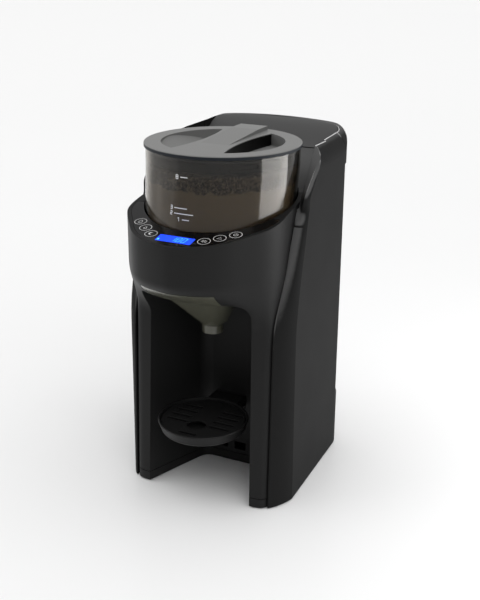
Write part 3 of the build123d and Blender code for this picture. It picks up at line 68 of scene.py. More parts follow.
def linear(hex_code: str) -> Colour:
    """Turns an sRGB hex colour into the linear colour that shaders use.

    Args:
        hex_code: Six hex digits, such as "2a2a2b".

    Returns:
        Linear red, green and blue with an alpha of 1.
    """
    channels = [int(hex_code[i:i + 2], 16) / 255 for i in (0, 2, 4)]
    bent = [c / 12.92 if c <= 0.04045 else ((c + 0.055) / 1.055) ** 2.4 for c in channels]
    return bent[0], bent[1], bent[2], 1.0


def shade(colour: Colour, share: float) -> Colour:
    """The same linear colour with each channel multiplied by a share."""
    return colour[0] * share, colour[1] * share, colour[2] * share, 1.0


def arc(radius: float, start: float, end: float, steps: int, centre: Point = (0.0, 0.0)) -> list[Point]:
    """Points along an arc, with its angles in degrees."""
    angles = [math.radians(start + (end - start) * i / steps) for i in range(steps + 1)]
    return [(centre[0] + radius * math.cos(a), centre[1] + radius * math.sin(a)) for a in angles]


def add_node(tree: Tree, kind: str, settings: dict | None = None, inputs: dict | None = None) -> Node:
    """Adds a shader node with its settings, and sets or links its inputs.

    Args:
        tree: Node tree that gets the node.
        kind: Blender's name of the node type.
        settings: Attributes of the node and their values.
        inputs: Socket name or number, and a value or the output socket that feeds it.

    Returns:
        The new node.
    """
    node = tree.nodes.new(kind)
    for name, value in (settings or {}).items():
        setattr(node, name, value)
    for key, value in (inputs or {}).items():
        socket = node.inputs[key]
        if isinstance(value, Socket):
            tree.links.new(value, socket)
        else:
            socket.default_value = value
    return node


def mask(tree: Tree, *steps: tuple[Socket, Span], share: float | Socket = 1.0) -> Socket:
    """Multiplies soft steps, each 0 at its span's first value and 1 at its second.

    Args:
        tree: Node tree that gets them.
        steps: A value and its span for each step.
        share: What the steps are multiplied with.

    Returns:
        The product, which is the share where every step is full.
    """
    for value, (start, end) in steps:
        step = add_node(tree, "ShaderNodeMapRange", {"interpolation_type": "SMOOTHSTEP"},
                        {"Value": value, "From Min": start, "From Max": end})
        share = add_node(tree, "ShaderNodeMath", MULTIPLY,
                         {0: share, 1: step.outputs["Result"]}).outputs["Value"]
    return share


# ---------------------------------------------------------------- finishes
@dataclass(frozen=True)
class Surface:
    """What every finish has: a name, an sRGB colour and a shader."""

    name: str
    colour: str

    def shader(self, tree: Tree) -> Node:
        """Adds the nodes of the finish; every finish has its own."""
        raise NotImplementedError(self.name)

    def material(self) -> bpy.types.Material:
        """Builds the material.

        Returns:
            A material with the finish's shader on its surface.
        """
        material = bpy.data.materials.new(self.name)
        material.use_nodes = True
        tree = material.node_tree
        tree.nodes.clear()
        shader = self.shader(tree)
        add_node(tree, "ShaderNodeOutputMaterial", None, {"Surface": shader.outputs["BSDF"]})
        return material


@dataclass(frozen=True)
class MouldedPlastic(Surface):
    """ABS or a like plastic from a spark-eroded mould: a fine even grain breaks the highlights up."""

    roughness: float = 0.42
    ior: float = 1.53
    sheen_share: float = 0.25      # the grain's pits swallow half of the mirror-like part of 0.5
    cloud_mm: float = 45.0         # gloss and tone change slowly over this distance
    gloss_spread: Span = (-0.03, 0.04)
    tone_spread: float = 0.04
    grain_mm: float = 0.9          # real grain is about 0.15 mm, drawn coarser so that it shows
    grain_depth_mm: float = 0.1
    grain_strength: float = 0.05
    round_mm: float = 0.7          # radius that a mould leaves on every sharp edge, where light catches
    painted_light_colour: str = ""         # painted light: paler tone of the faces that look up and ahead, towards the bright light
    painted_light_from: tuple[float, float, float] = (0.0, -0.5, 0.87)
    painted_light_span: Span = (0.55, 0.78)
    painted_glint_colour: str = ""         # painted highlight: a glint along an edge that faces right and up
    glint_mm: float = 1.6
    glint_bend: Span = (0.995, 0.96)
    glint_right: Span = (0.1, 0.3)
    glint_up: Span = (0.6, 0.8)

    def shader(self, tree: Tree) -> Node:
        """Adds the grain, the rounded edges and the slow change of gloss and tone.

        Args:
            tree: The material's node tree.

        Returns:
            The shader node.
        """
        place = add_node(tree, "ShaderNodeTexCoord").outputs["Object"]
        grain = add_node(tree, "ShaderNodeTexNoise", SOLID,
                         {"Vector": place, "Scale": 1 / mm(self.grain_mm), "Detail": 2.0})
        cloud = add_node(tree, "ShaderNodeTexNoise", SOLID,
                         {"Vector": place, "Scale": 1 / mm(self.cloud_mm), "Detail": 3.0})
        glossy, dull = (self.roughness + spread for spread in self.gloss_spread)
        polish = add_node(tree, "ShaderNodeMapRange", None,
                          {"Value": cloud.outputs["Fac"], "To Min": glossy, "To Max": dull})
        base = linear(self.colour)
        tone = add_node(tree, "ShaderNodeMix", BLEND,
                        {"Factor": cloud.outputs["Fac"], "A": shade(base, 1 - self.tone_spread),
                         "B": shade(base, 1 + self.tone_spread)})
        rounded = add_node(tree, "ShaderNodeBevel", {"samples": 6}, {"Radius": mm(self.round_mm)})
        bump = add_node(tree, "ShaderNodeBump", None,
                        {"Strength": self.grain_strength, "Distance": mm(self.grain_depth_mm),
                         "Height": grain.outputs["Fac"], "Normal": rounded.outputs["Normal"]})
        return add_node(tree, "ShaderNodeBsdfPrincipled", None,
                        {"Base Color": self.layered(tree, tone.outputs["Result"]),
                         "Roughness": polish.outputs["Result"], "IOR": self.ior,
                         "Specular IOR Level": self.sheen_share, "Normal": bump.outputs["Normal"]})

    def layered(self, tree: Tree, tone: Socket) -> Socket:
        """Lays painted light over the faces that look up and ahead, and a painted glint along the edge.

        Args:
            tree: The material's node tree.
            tone: Colour underneath.

        Returns:
            The colour to use.
        """
        if not self.painted_light_colour:
            return tone
        # painted light: faces that look up and ahead get the paler tone
        face = add_node(tree, "ShaderNodeNewGeometry").outputs["Normal"]
        facing = add_node(tree, "ShaderNodeVectorMath", DOT, {0: face, 1: self.painted_light_from})
        painted_light_share = mask(tree, (facing.outputs["Value"], self.painted_light_span))
        painted_light_tone = add_node(tree, "ShaderNodeMix", BLEND,
                         {"Factor": painted_light_share, "A": tone, "B": linear(self.painted_light_colour)})
        # painted highlight: near-white glint along edges that face right and up
        wide = add_node(tree, "ShaderNodeBevel", {"samples": 8}, {"Radius": mm(self.glint_mm)})
        bend = add_node(tree, "ShaderNodeVectorMath", DOT, {0: wide.outputs["Normal"], 1: face})
        tilt = add_node(tree, "ShaderNodeSeparateXYZ", None, {"Vector": face})
        glint = mask(tree, (bend.outputs["Value"], self.glint_bend), (tilt.outputs["X"], self.glint_right),
                     (tilt.outputs["Z"], self.glint_up))
        return add_node(tree, "ShaderNodeMix", BLEND,
                        {"Factor": glint, "A": painted_light_tone.outputs["Result"],
                         "B": linear(self.painted_glint_colour)}).outputs["Result"]


@dataclass(frozen=True)
class GreyTopLid(MouldedPlastic):
    """Lid with a grey top, dark round its edge and on the skirt, with painted shade on the grip bar's right
    wall.
    """

    axis_y_mm: float = -12.0
    edge_colour: str = "1d2126"
    edge_top_mm: float = 383.3     # black starts below this height
    edge_from_mm: float = 69.0     # and outside this radius, except on the grip
    edge_blur_mm: Span = (0.2, 0.5)
    # painted shade on the grip bar's right wall, beside the deep pocket
    grip_shade_colour: str = "050505"
    grip_tilt: Span = (0.25, 0.5)  # the grip bar's wall faces right
    grip_from_mm: Span = (0.0, 5.0)

    def layered(self, tree: Tree, tone: Socket) -> Socket:
        """Lays the dark colour over the lid's edge and its skirt, and painted shade over the grip bar's right
        wall.

        Args:
            tree: The material's node tree.
            tone: Colour underneath.

        Returns:
            The colour to use.
        """
        place = add_node(tree, "ShaderNodeTexCoord").outputs["Object"]
        centred = add_node(tree, "ShaderNodeMapping", None,
                           {"Vector": place, "Location": (0.0, -mm(self.axis_y_mm), 0.0)})
        axes = add_node(tree, "ShaderNodeSeparateXYZ", None, {"Vector": centred.outputs["Vector"]})
        flat = add_node(tree, "ShaderNodeCombineXYZ", None, {"X": axes.outputs["X"], "Y": axes.outputs["Y"]})
        radius = add_node(tree, "ShaderNodeVectorMath", {"operation": "LENGTH"}, {0: flat.outputs["Vector"]})
        top, rim = mm(self.edge_top_mm), mm(self.edge_from_mm)
        blur_down, blur_out = (mm(blur) for blur in self.edge_blur_mm)
        low = mask(tree, (axes.outputs["Z"], (top, top - blur_down)))
        edge = mask(tree, (radius.outputs["Value"], (rim, rim + blur_out)), share=low)
        edged = add_node(tree, "ShaderNodeMix", BLEND,
                         {"Factor": edge, "A": tone, "B": linear(self.edge_colour)})
        inside = add_node(tree, "ShaderNodeMath", {"operation": "SUBTRACT"}, {0: low, 1: edge})
        # painted shade: right-facing faces right of the bar get near black
        face = add_node(tree, "ShaderNodeNewGeometry").outputs["Normal"]
        tilt = add_node(tree, "ShaderNodeSeparateXYZ", None, {"Vector": face})
        start, full = (mm(x) for x in self.grip_from_mm)
        grip = mask(tree, (tilt.outputs["X"], self.grip_tilt), (axes.outputs["X"], (start, full)),
                    share=inside.outputs["Value"])
        return add_node(tree, "ShaderNodeMix", BLEND,
                        {"Factor": grip, "A": edged.outputs["Result"],
                         "B": linear(self.grip_shade_colour)}).outputs["Result"]


@dataclass(frozen=True)
class ClearPlastic(Surface):
    """Copolyester, polished mould: looks like thin smoky glass with sharp reflections."""

    roughness: float = 0.03
    haze: float = 0.03             # how much rougher the dullest places are
    ior: float = 1.54
    clearness: float = 1.0         # less than 1 where the resin is clouded with smoke pigment
    ripple_mm: float = 30.0        # slow waves left by the melt's flow
    ripple_depth_mm: float = 0.4
    ripple_strength: float = 0.03

    def shader(self, tree: Tree) -> Node:
        """Adds the tinted clear body with its slow waves.

        Args:
            tree: The material's node tree.

        Returns:
            The shader node.
        """
        place = add_node(tree, "ShaderNodeTexCoord").outputs["Object"]
        flow = add_node(tree, "ShaderNodeTexNoise", SOLID,
                        {"Vector": place, "Scale": 1 / mm(self.ripple_mm), "Detail": 1.0})
        bump = add_node(tree, "ShaderNodeBump", None,
                        {"Strength": self.ripple_strength, "Distance": mm(self.ripple_depth_mm),
                         "Height": flow.outputs["Fac"]})
        polish = add_node(tree, "ShaderNodeMapRange", None,
                          {"Value": flow.outputs["Fac"], "To Min": self.roughness,
                           "To Max": self.roughness + self.haze})
        return add_node(tree, "ShaderNodeBsdfPrincipled", None,
                        {"Base Color": linear(self.colour), "Roughness": polish.outputs["Result"],
                         "IOR": self.ior, "Transmission Weight": self.clearness,
                         "Normal": bump.outputs["Normal"]})


@dataclass(frozen=True)
class PanelGlass(Surface):
    """Acrylic sheet printed black on its back: deep black with a wet gloss."""

    name: str = "back_printed_acrylic"
    colour: str = "060607"
    smear_mm: float = 25.0         # smears of fingers and cloths change the gloss
    polish: Span = (0.05, 0.10)

    def shader(self, tree: Tree) -> Node:
        """Adds the black gloss with its smears.

        Args:
            tree: The material's node tree.

        Returns:
            The shader node.
        """
        place = add_node(tree, "ShaderNodeTexCoord").outputs["Object"]
        smear = add_node(tree, "ShaderNodeTexNoise", SOLID,
                         {"Vector": place, "Scale": 1 / mm(self.smear_mm), "Detail": 4.0})
        polish = add_node(tree, "ShaderNodeMapRange", None,
                          {"Value": smear.outputs["Fac"], "To Min": self.polish[0], "To Max": self.polish[1]})
        return add_node(tree, "ShaderNodeBsdfPrincipled", None,
                        {"Base Color": linear(self.colour), "Roughness": polish.outputs["Result"],
                         "IOR": 1.49})


@dataclass(frozen=True)
class Backlit(Surface):
    """Liquid crystal window or its marks: a nearly even glow with the backlight's slow clouds."""

    strength: float = 1.0
    cloud_mm: float = 12.0
    glow_spread: Span = (0.86, 1.12)

    def shader(self, tree: Tree) -> Node:
        """Adds the glow under a glossy cover.

        Args:
            tree: The material's node tree.

        Returns:
            The shader node.
        """
        place = add_node(tree, "ShaderNodeTexCoord").outputs["Object"]
        cloud = add_node(tree, "ShaderNodeTexNoise", SOLID,
                         {"Vector": place, "Scale": 1 / mm(self.cloud_mm), "Detail": 1.0})
        dim, bright = (shade(linear(self.colour), share) for share in self.glow_spread)
        tone = add_node(tree, "ShaderNodeMix", BLEND, {"Factor": cloud.outputs["Fac"], "A": dim, "B": bright})
        return add_node(tree, "ShaderNodeBsdfPrincipled", None,
                        {"Base Color": tone.outputs["Result"], "Roughness": 0.2, "IOR": 1.5,
                         "Emission Color": tone.outputs["Result"], "Emission Strength": self.strength})


@dataclass(frozen=True)
class ScreenInk(Surface):
    """Screen-printed ink: flat, slightly uneven where the mesh left less of it."""

    mesh_mm: float = 0.8           # real mesh is about 0.1 mm, drawn coarser so that it shows
    thin_share: float = 0.88

    def shader(self, tree: Tree) -> Node:
        """Adds the flat ink with its thinner places.

        Args:
            tree: The material's node tree.

        Returns:
            The shader node.
        """
        place = add_node(tree, "ShaderNodeTexCoord").outputs["Object"]
        mesh = add_node(tree, "ShaderNodeTexNoise", SOLID,
                        {"Vector": place, "Scale": 1 / mm(self.mesh_mm), "Detail": 1.0})
        base = linear(self.colour)
        tone = add_node(tree, "ShaderNodeMix", BLEND,
                        {"Factor": mesh.outputs["Fac"], "A": shade(base, self.thin_share), "B": base})
        return add_node(tree, "ShaderNodeBsdfPrincipled", None,
                        {"Base Color": tone.outputs["Result"], "Roughness": 0.45, "IOR": 1.5})


@dataclass(frozen=True)
class MilkPowder(Surface):
    """Spray-dried formula powder: smooth where it has settled, crumbly and shaded above the settled line."""

    name: str = "spray_dried_milk_powder"
    colour: str = "938775"
    smooth_share: float = 0.95     # tone of the settled powder's faint lumps
    crumbly_colour: str = "867b6c"
    gap_shade_share: float = 0.1         # painted shade: tone of the gaps between the crumbs
    crumb_mm: float = 2.4          # real grains are about 0.2 mm, these are the crumbs that they form
    crumb_span: Span = (0.42, 0.62)
    crumb_depth_mm: float = 2.0
    crumb_strength: float = 0.8
    line_mm: float = 347.5         # height of the settled line
    blur_mm: float = 0.8
    ragged_mm: float = 3.2         # how far the line wanders up and down
    wander_mm: float = 14.0        # and over what distance
    wander_span: Span = (0.3, 0.7)

    def shader(self, tree: Tree) -> Node:
        """Adds settled and crumbly powder on the two sides of a ragged line.

        Args:
            tree: The material's node tree.

        Returns:
            The shader node.
        """
        place = add_node(tree, "ShaderNodeTexCoord").outputs["Object"]
        wander = add_node(tree, "ShaderNodeTexNoise", SOLID,
                          {"Vector": place, "Scale": 1 / mm(self.wander_mm), "Detail": 7.0, "Roughness": 0.7})
        crumbs = add_node(tree, "ShaderNodeTexNoise", SOLID,
                          {"Vector": place, "Scale": 1 / mm(self.crumb_mm), "Detail": 4.0, "Roughness": 0.65})
        axes = add_node(tree, "ShaderNodeSeparateXYZ", None, {"Vector": place})
        offset = add_node(tree, "ShaderNodeMapRange", None,
                          {"Value": wander.outputs["Fac"], "From Min": self.wander_span[0],
                           "From Max": self.wander_span[1], "To Min": -mm(self.ragged_mm),
                           "To Max": mm(self.ragged_mm)})
        height = add_node(tree, "ShaderNodeMath", {"operation": "ADD"},
                          {0: axes.outputs["Z"], 1: offset.outputs["Result"]})
        zone = add_node(tree, "ShaderNodeMapRange", None,
                        {"Value": height.outputs["Value"], "From Min": mm(self.line_mm - self.blur_mm),
                         "From Max": mm(self.line_mm + self.blur_mm)})
        lumps = add_node(tree, "ShaderNodeMapRange", None,
                         {"Value": crumbs.outputs["Fac"], "From Min": self.crumb_span[0],
                          "From Max": self.crumb_span[1]})
        # painted shade darkens the crumbly powder in the gaps between the crumbs
        crumb_tone, smooth_tone = (
            add_node(tree, "ShaderNodeMix", BLEND,
                     {"Factor": lumps.outputs["Result"], "A": shade(pale, share), "B": pale})
            for pale, share in ((linear(self.crumbly_colour), self.gap_shade_share),
                                (linear(self.colour), self.smooth_share)))
        tone = add_node(tree, "ShaderNodeMix", BLEND,
                        {"Factor": zone.outputs["Result"], "A": smooth_tone.outputs["Result"],
                         "B": crumb_tone.outputs["Result"]})
        depth = add_node(tree, "ShaderNodeMath", MULTIPLY,
                         {0: zone.outputs["Result"], 1: crumbs.outputs["Fac"]})
        bump = add_node(tree, "ShaderNodeBump", None,
                        {"Strength": self.crumb_strength, "Distance": mm(self.crumb_depth_mm),
                         "Height": depth.outputs["Value"]})
        return add_node(tree, "ShaderNodeBsdfPrincipled", None,
                        {"Base Color": tone.outputs["Result"], "Roughness": 0.95, "IOR": 1.45,
                         "Normal": bump.outputs["Normal"]})


@dataclass(frozen=True)
class MachinedMetal(Surface):
    """Bare metal with the fine parallel marks of rolling, drawing or turning."""

    roughness: float = 0.32
    gloss_spread: Span = (-0.08, 0.1)
    mark_mm: float = 0.5           # real marks are about 0.05 mm apart, drawn coarser so that they show
    mark_stretch: float = 0.06     # a mark's width as a share of its length, which runs along Z
    mark_depth_mm: float = 0.05
    mark_strength: float = 0.08

    def shader(self, tree: Tree) -> Node:
        """Adds the bare metal with its marks.

        Args:
            tree: The material's node tree.

        Returns:
            The shader node.
        """
        place = add_node(tree, "ShaderNodeTexCoord").outputs["Object"]
        drawn = add_node(tree, "ShaderNodeMapping", None,
                         {"Vector": place, "Scale": (1.0, 1.0, self.mark_stretch)})
        marks = add_node(tree, "ShaderNodeTexNoise", SOLID,
                         {"Vector": drawn.outputs["Vector"], "Scale": 1 / mm(self.mark_mm), "Detail": 3.0})
        glossy, dull = (self.roughness + spread for spread in self.gloss_spread)
        polish = add_node(tree, "ShaderNodeMapRange", None,
                          {"Value": marks.outputs["Fac"], "To Min": glossy, "To Max": dull})
        bump = add_node(tree, "ShaderNodeBump", None,
                        {"Strength": self.mark_strength, "Distance": mm(self.mark_depth_mm),
                         "Height": marks.outputs["Fac"]})
        return add_node(tree, "ShaderNodeBsdfPrincipled", None,
                        {"Base Color": linear(self.colour), "Metallic": 1.0,
                         "Roughness": polish.outputs["Result"], "Normal": bump.outputs["Normal"]})


@dataclass(frozen=True)
class SoftRubber(Surface):
    """Nitrile or silicone rubber: dull, with a faint powdery bloom."""

    roughness: float = 0.75
    bloom_mm: float = 6.0
    bloom_gain: float = 1.25       # the bloom brightens the rubber by this share
    bloom_veil: float = 0.004      # and adds this much white

    def shader(self, tree: Tree) -> Node:
        """Adds the dull rubber with its bloom.

        Args:
            tree: The material's node tree.

        Returns:
            The shader node.
        """
        place = add_node(tree, "ShaderNodeTexCoord").outputs["Object"]
        bloom = add_node(tree, "ShaderNodeTexNoise", SOLID,
                         {"Vector": place, "Scale": 1 / mm(self.bloom_mm), "Detail": 5.0})
        base = linear(self.colour)
        bloomed = [min(1.0, self.bloom_gain * c + self.bloom_veil) for c in base[:3]] + [1.0]
        tone = add_node(tree, "ShaderNodeMix", BLEND,
                        {"Factor": bloom.outputs["Fac"], "A": base, "B": bloomed})
        return add_node(tree, "ShaderNodeBsdfPrincipled", None,
                        {"Base Color": tone.outputs["Result"], "Roughness": self.roughness, "IOR": 1.42})


@dataclass(frozen=True)
class CircuitLaminate(Surface):
    """Glass-fibre laminate under green solder mask: the weave shows as a faint check."""

    name: str = "glass_fibre_laminate"
    colour: str = "1d4a2c"
    weft_colour: str = "22563a"
    weave_mm: float = 1.2          # real weave is about 0.5 mm, drawn coarser so that it shows

    def shader(self, tree: Tree) -> Node:
        """Adds the green mask over the weave.

        Args:
            tree: The material's node tree.

        Returns:
            The shader node.
        """
        place = add_node(tree, "ShaderNodeTexCoord").outputs["Object"]
        weave = add_node(tree, "ShaderNodeTexChecker", None,
                         {"Vector": place, "Scale": 1 / mm(self.weave_mm),
                          "Color1": linear(self.colour), "Color2": linear(self.weft_colour)})
        return add_node(tree, "ShaderNodeBsdfPrincipled", None,
                        {"Base Color": weave.outputs["Color"], "Roughness": 0.35, "IOR": 1.5})


@dataclass(frozen=True)
class StudioPaper(Surface):
    """Satin white background board: throws a soft, short reflection of what stands on it."""

    name: str = "satin_studio_board"
    colour: str = "f4f4f4"
    roughness: float = 0.22

    def shader(self, tree: Tree) -> Node:
        """Adds the plain satin white."""
        return add_node(tree, "ShaderNodeBsdfPrincipled", None,
                        {"Base Color": linear(self.colour), "Roughness": self.roughness, "IOR": 1.4})


class Finish(Enum):
    """Every finish on the machine, and the board that it stands on."""

    # the casing's paler up-and-ahead faces are painted light
    CASING = MouldedPlastic("charcoal_abs", "1f1f1f", roughness=0.5, sheen_share=0.03,
                            # the white line on the right rim is a painted highlight
                            painted_light_colour="555555", painted_glint_colour="d8d8d8")
    HOUSING = MouldedPlastic("black_abs", "1c1c1c", roughness=0.46, sheen_share=0.14)
    BAY = MouldedPlastic("black_abs_tray", "191919", roughness=0.42, sheen_share=0.15)
    # the near black on the grip bar's right wall is painted shade
    LID = GreyTopLid("grey_abs_with_painted_grip_shade", "767675", roughness=0.42, sheen_share=0.12)
    INNER = MouldedPlastic("black_nylon", "0c0c0d", roughness=0.55)
    ACETAL = MouldedPlastic("white_acetal", "dedcd6", roughness=0.38, ior=1.48)
    # an index below the resin's 1.54 keeps the mirror image of the white board on the wall faint
    CONTAINER = ClearPlastic("hard_coated_smoky_copolyester", "b3aca1", roughness=0.08, ior=1.37)
    TANK = ClearPlastic("grey_copolyester", "b4b5b3", roughness=0.05)
    FUNNEL = ClearPlastic("olive_smoke_copolyester", "5c5c50", roughness=0.2, clearness=0.35)
    PANEL = PanelGlass()
    WINDOW = Backlit("blue_liquid_crystal_window", "1a47fa", strength=0.75)
    DIGITS = Backlit("cyan_liquid_crystal_marks", "4fc9ff", strength=0.85)
    INK = ScreenInk("white_screen_ink", "e8e8e8")
    POWDER = MilkPowder()
    STEEL = MachinedMetal("drawn_stainless_steel", "c6c6c4")
    CAST = MachinedMetal("cast_aluminium", "bfc0c2", roughness=0.48, mark_mm=1.5)
    RUBBER = SoftRubber("nitrile_rubber", "141414")
    SILICONE = SoftRubber("milky_silicone", "cfcfca", roughness=0.5)
    SEAL = SoftRubber("blue_grey_silicone", "3d464e", roughness=0.5)
    BOARD = CircuitLaminate()
    PAPER = StudioPaper()


class MaterialStore:
    """Builds each finish once and hands it out."""

    def __init__(self) -> None:
        """Starts with no material built."""
        self._made: dict[Finish, bpy.types.Material] = {}

    def get(self, finish: Finish) -> bpy.types.Material:
        """Gives the material of a finish.

        Args:
            finish: The finish wanted.

        Returns:
            The one material that all its pieces share.
        """
        if finish not in self._made:
            self._made[finish] = finish.value.material()
        return self._made[finish]


# ---------------------------------------------------------------- pieces
@dataclass
class Dresser:
    """Gives pieces their finish and body."""

    store: MaterialStore

    def dress_node(self, node: str, finish: Finish) -> None:
        """Gives a carried-over moulding its finish.

        Args:
            node: Name of the moulding in the frame.
            finish: Its finish.
        """
        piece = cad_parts[node]
        piece.data.materials.clear()
        piece.data.materials.append(self.store.get(finish))
        LOG.info("dressed %s", node)

    def new_piece(self, name: str, mesh: Mesh, finish: Finish, body: str, slot: str,
                  smooth: bool = True) -> None:
        """Turns a finished mesh into a piece that rides on a body.

        Args:
            name: Name of the piece.
            mesh: Its mesh, which is used up.
            finish: Its finish.
            body: Body that carries it.
            slot: The record's material slot; not used.
            smooth: Whether its faces are shaded smooth.
        """
        data = bpy.data.meshes.new(name)
        mesh.to_mesh(data)
        mesh.free()
        for polygon in data.polygons:
            polygon.use_smooth = smooth
        data.materials.append(self.store.get(finish))
        piece = bpy.data.objects.new(name, data)
        bpy.context.scene.collection.objects.link(piece)
        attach(piece, body)
        LOG.info("built %s", name)


@dataclass
class Mouldings:
    """The carried-over mouldings and works, and the finish of each."""

    dresser: Dresser
    nodes: dict[Finish, tuple[str, ...]] = field(default_factory=lambda: {
        Finish.CASING: ("outer_casing", "top_deck", "tank_lid"),
        Finish.HOUSING: ("base_cover", "front_housing"),
        Finish.BAY: ("drip_tray", "tray_grille"),
        Finish.LID: ("hopper_lid",),
        Finish.CONTAINER: ("powder_hopper",),
        Finish.TANK: ("water_tank",),
        Finish.FUNNEL: ("mixing_funnel", "funnel_cover"),
        Finish.PANEL: ("control_panel",),
        Finish.WINDOW: ("display_window",),
        Finish.BOARD: ("panel_board",),
        Finish.INNER: ("tank_dock", "rear_panel", "drive_deck", "funnel_guide", "water_pump"),
        Finish.ACETAL: ("shaft_bush", "powder_chute", "drive_gear", "motor_pinion", "powder_scraper",
                        "dosing_wheel", "stirrer", "level_float", "tank_valve"),
        Finish.STEEL: ("dosing_motor", "motor_bracket", "drive_shaft", "valve_spring"),
        Finish.CAST: ("heater_block",),
        Finish.SILICONE: ("water_nozzle", "valve_seal"),
        Finish.SEAL: ("lid_seal",),
        Finish.RUBBER: ("rubber_feet", "pump_mounts"),
    })

    def build(self) -> None:
        """Dresses every moulding."""
        for finish, nodes in self.nodes.items():
            for node in nodes:
                self.dresser.dress_node(node, finish)


@dataclass(frozen=True)
class Sign:
    """A touch key's sign in millimetres about the key's centre."""

    lines: tuple[list[Point], ...] = ()
    closed: bool = False
    filled: tuple[Point, ...] = ()


class KeySign(Enum):
    """What the six touch keys show."""

    START = Sign(([(-1.5, -2.6), (1.5, -2.6), (1.8, -1.9), (1.8, 0.4), (0.8, 1.3), (0.8, 2.6),
                   (-0.8, 2.6), (-0.8, 1.3), (-1.8, 0.4), (-1.8, -1.9)],), closed=True)      # bottle
    WATER = Sign((arc(1.7, 200, 340, 18, (0.0, -0.8)) + [(0.0, 2.8)],), closed=True)         # drop
    NIGHT = Sign(filled=(*arc(2.5, 60, 300, 20), *arc(2.1, 290, 70, 20, (1.15, 0.0))))       # crescent
    POWER = Sign((arc(2.2, 120, 420, 26), [(0.0, 0.6), (0.0, 3.0)]))                         # ring and stem
    VOLUME = Sign(([(-2.4, -1.6), (2.4, -1.6), (0.0, 2.3)],), closed=True)                   # triangle
    WARMTH = Sign(tuple([(-2.8 + 0.4 * i, level + 0.55 * math.sin(0.9 * i)) for i in range(15)]
                        for level in (-1.1, 1.1)))                                           # waves


